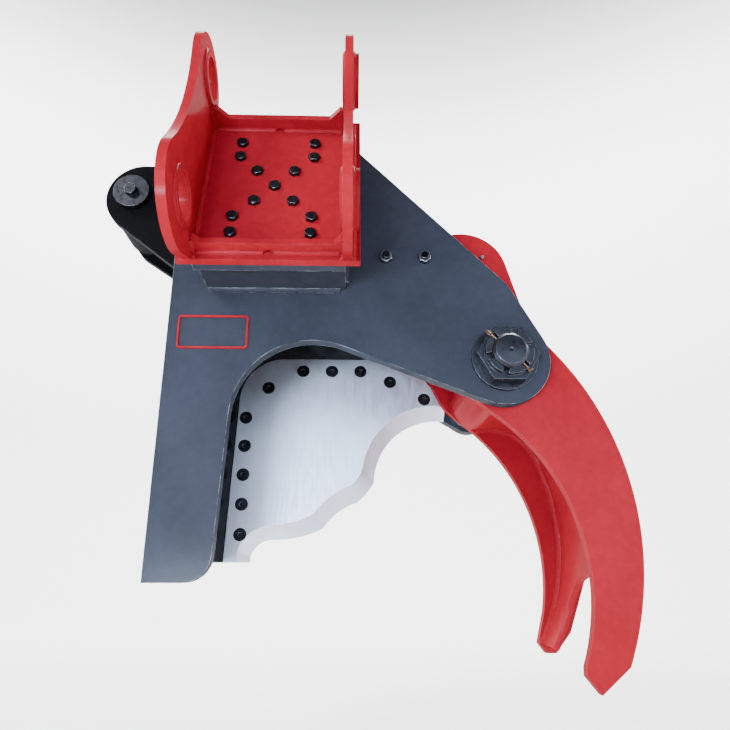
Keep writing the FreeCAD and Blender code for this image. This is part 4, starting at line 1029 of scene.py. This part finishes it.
def add_cotter():
    """Split pin through the nut's crown: an eye at its upper left and two legs bent apart at its end."""
    centre = Vector((PIVOT[0], PLATE_FRONT - WASHER_THICK - NUT_BODY - CROWN_HALF, PIVOT[1]))
    along = Vector((-math.sqrt(0.5), 0, math.sqrt(0.5)))
    leg_apart, leg_start, leg_end, bend_radius = 1.55, 36.0, -34.0, 7.0
    eye_middle, eye_radius = 40.5, 4.3
    parts = []
    for side in (-1, 1):
        path = []
        for reach in (leg_start, 20.0, 0.0, -20.0, leg_end):
            path.append(centre + along * reach + BACKWARD * (leg_apart * side))
        for k in range(1, 6):
            turn = math.radians(16 * k)
            reach = leg_end - bend_radius * math.sin(turn)
            apart = leg_apart + bend_radius * (1 - math.cos(turn))
            path.append(centre + along * reach + BACKWARD * (apart * side))
        parts.append((tube(path, 1.6), Matrix.Identity(4)))
    eye = []
    for k in range(21):
        turn = math.radians(-150 + 15 * k)
        out = eye_middle + eye_radius * math.cos(turn)
        eye.append(centre + along * out + BACKWARD * (eye_radius * math.sin(turn)))
    parts.append((tube(eye, 1.7), Matrix.Identity(4)))
    pin = add_piece("split_pin", merged(*parts), "frame", "spring_steel")
    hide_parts("cotter_pin")


def add_nipple():
    """Grease nipple on the front claw plate: its foot, waist and ball end."""
    foot = [(0.0, 0.0), (3.6, 0.0), (3.6, 0.5), (3.0, 1.9)]
    waist = [(2.2, 2.6), (1.9, 3.3)]
    ball = [(2.5, 3.9), (2.5, 4.4), (1.4, 4.9), (0.6, 4.7), (0.0, 4.5)]
    at = facing(NIPPLE_PLACE, FORWARD)
    nipple = add_piece("nipple_fitting", merged((lathe(foot + waist + ball, 24), at)), "claw", "pin_steel")
    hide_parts("grease_nipple")


def add_pin_end():
    """Turned end face of the main pin, with its centre hole and faint tool rings."""
    profile = [(0.0, -0.5), (1.2, -0.5), (2.9, 0.30)]
    for i in range(9):
        profile += [(4.0 + 2.0 * i, 0.32), (4.5 + 2.0 * i, 0.24)]
    profile += [(21.4, 0.32), (21.9, 0.0)]
    at = facing((PIVOT[0], PLATE_FRONT - PIN_STANDS_OUT, PIVOT[1]), FORWARD)
    add_piece("pin_end_face", merged((lathe(profile, 64), at)), "frame", "black_oxide")


def add_badge_frame():
    """Bare raised rim of the badge's place on the front side plate."""
    shoulder, round_off, drop = 0.35, 0.9, 0.5
    section = [(0.0, 0.0), (shoulder, BADGE_STAND - drop), (round_off, BADGE_STAND)]
    section += [(BADGE_RIM - inset, out) for inset, out in section[::-1]]
    left, right = BADGE_X[0] + BADGE_RADIUS, BADGE_X[1] - BADGE_RADIUS
    low, high = BADGE_Z[0] + BADGE_RADIUS, BADGE_Z[1] - BADGE_RADIUS
    corners = ((right, high, 0), (left, high, 90), (left, low, 180), (right, low, 270))
    verts = []
    for inset, out in section:
        radius = max(BADGE_RADIUS - inset, 1.2)
        for x, z, start in corners:
            for k in range(7):
                corner_x, corner_z = on_circle((x, z), radius, math.radians(start + 15 * k))
                verts.append((corner_x, PLATE_FRONT - out, corner_z))
    faces = strip(len(verts) // len(section), len(section), closed=True)
    add_piece("badge_rim", (verts, faces), "frame", "red_paint")


materials = make_materials()
add_camera()
add_stage()
add_lights()
dress_nodes()
add_ear_welds()
add_cross_plate_welds()
add_boss_welds()
add_wedge_welds()
add_mouth_web_welds()
add_web_welds()
add_lug_welds()
add_claw_web()
add_claw_welds()
spins = random.Random(4)
add_bracket_bolts(spins)
add_stud_nuts(spins)
add_blade_nuts(spins)
add_keeper_bolt()
add_cotter()
add_nipple()
add_pin_end()
add_badge_frame()
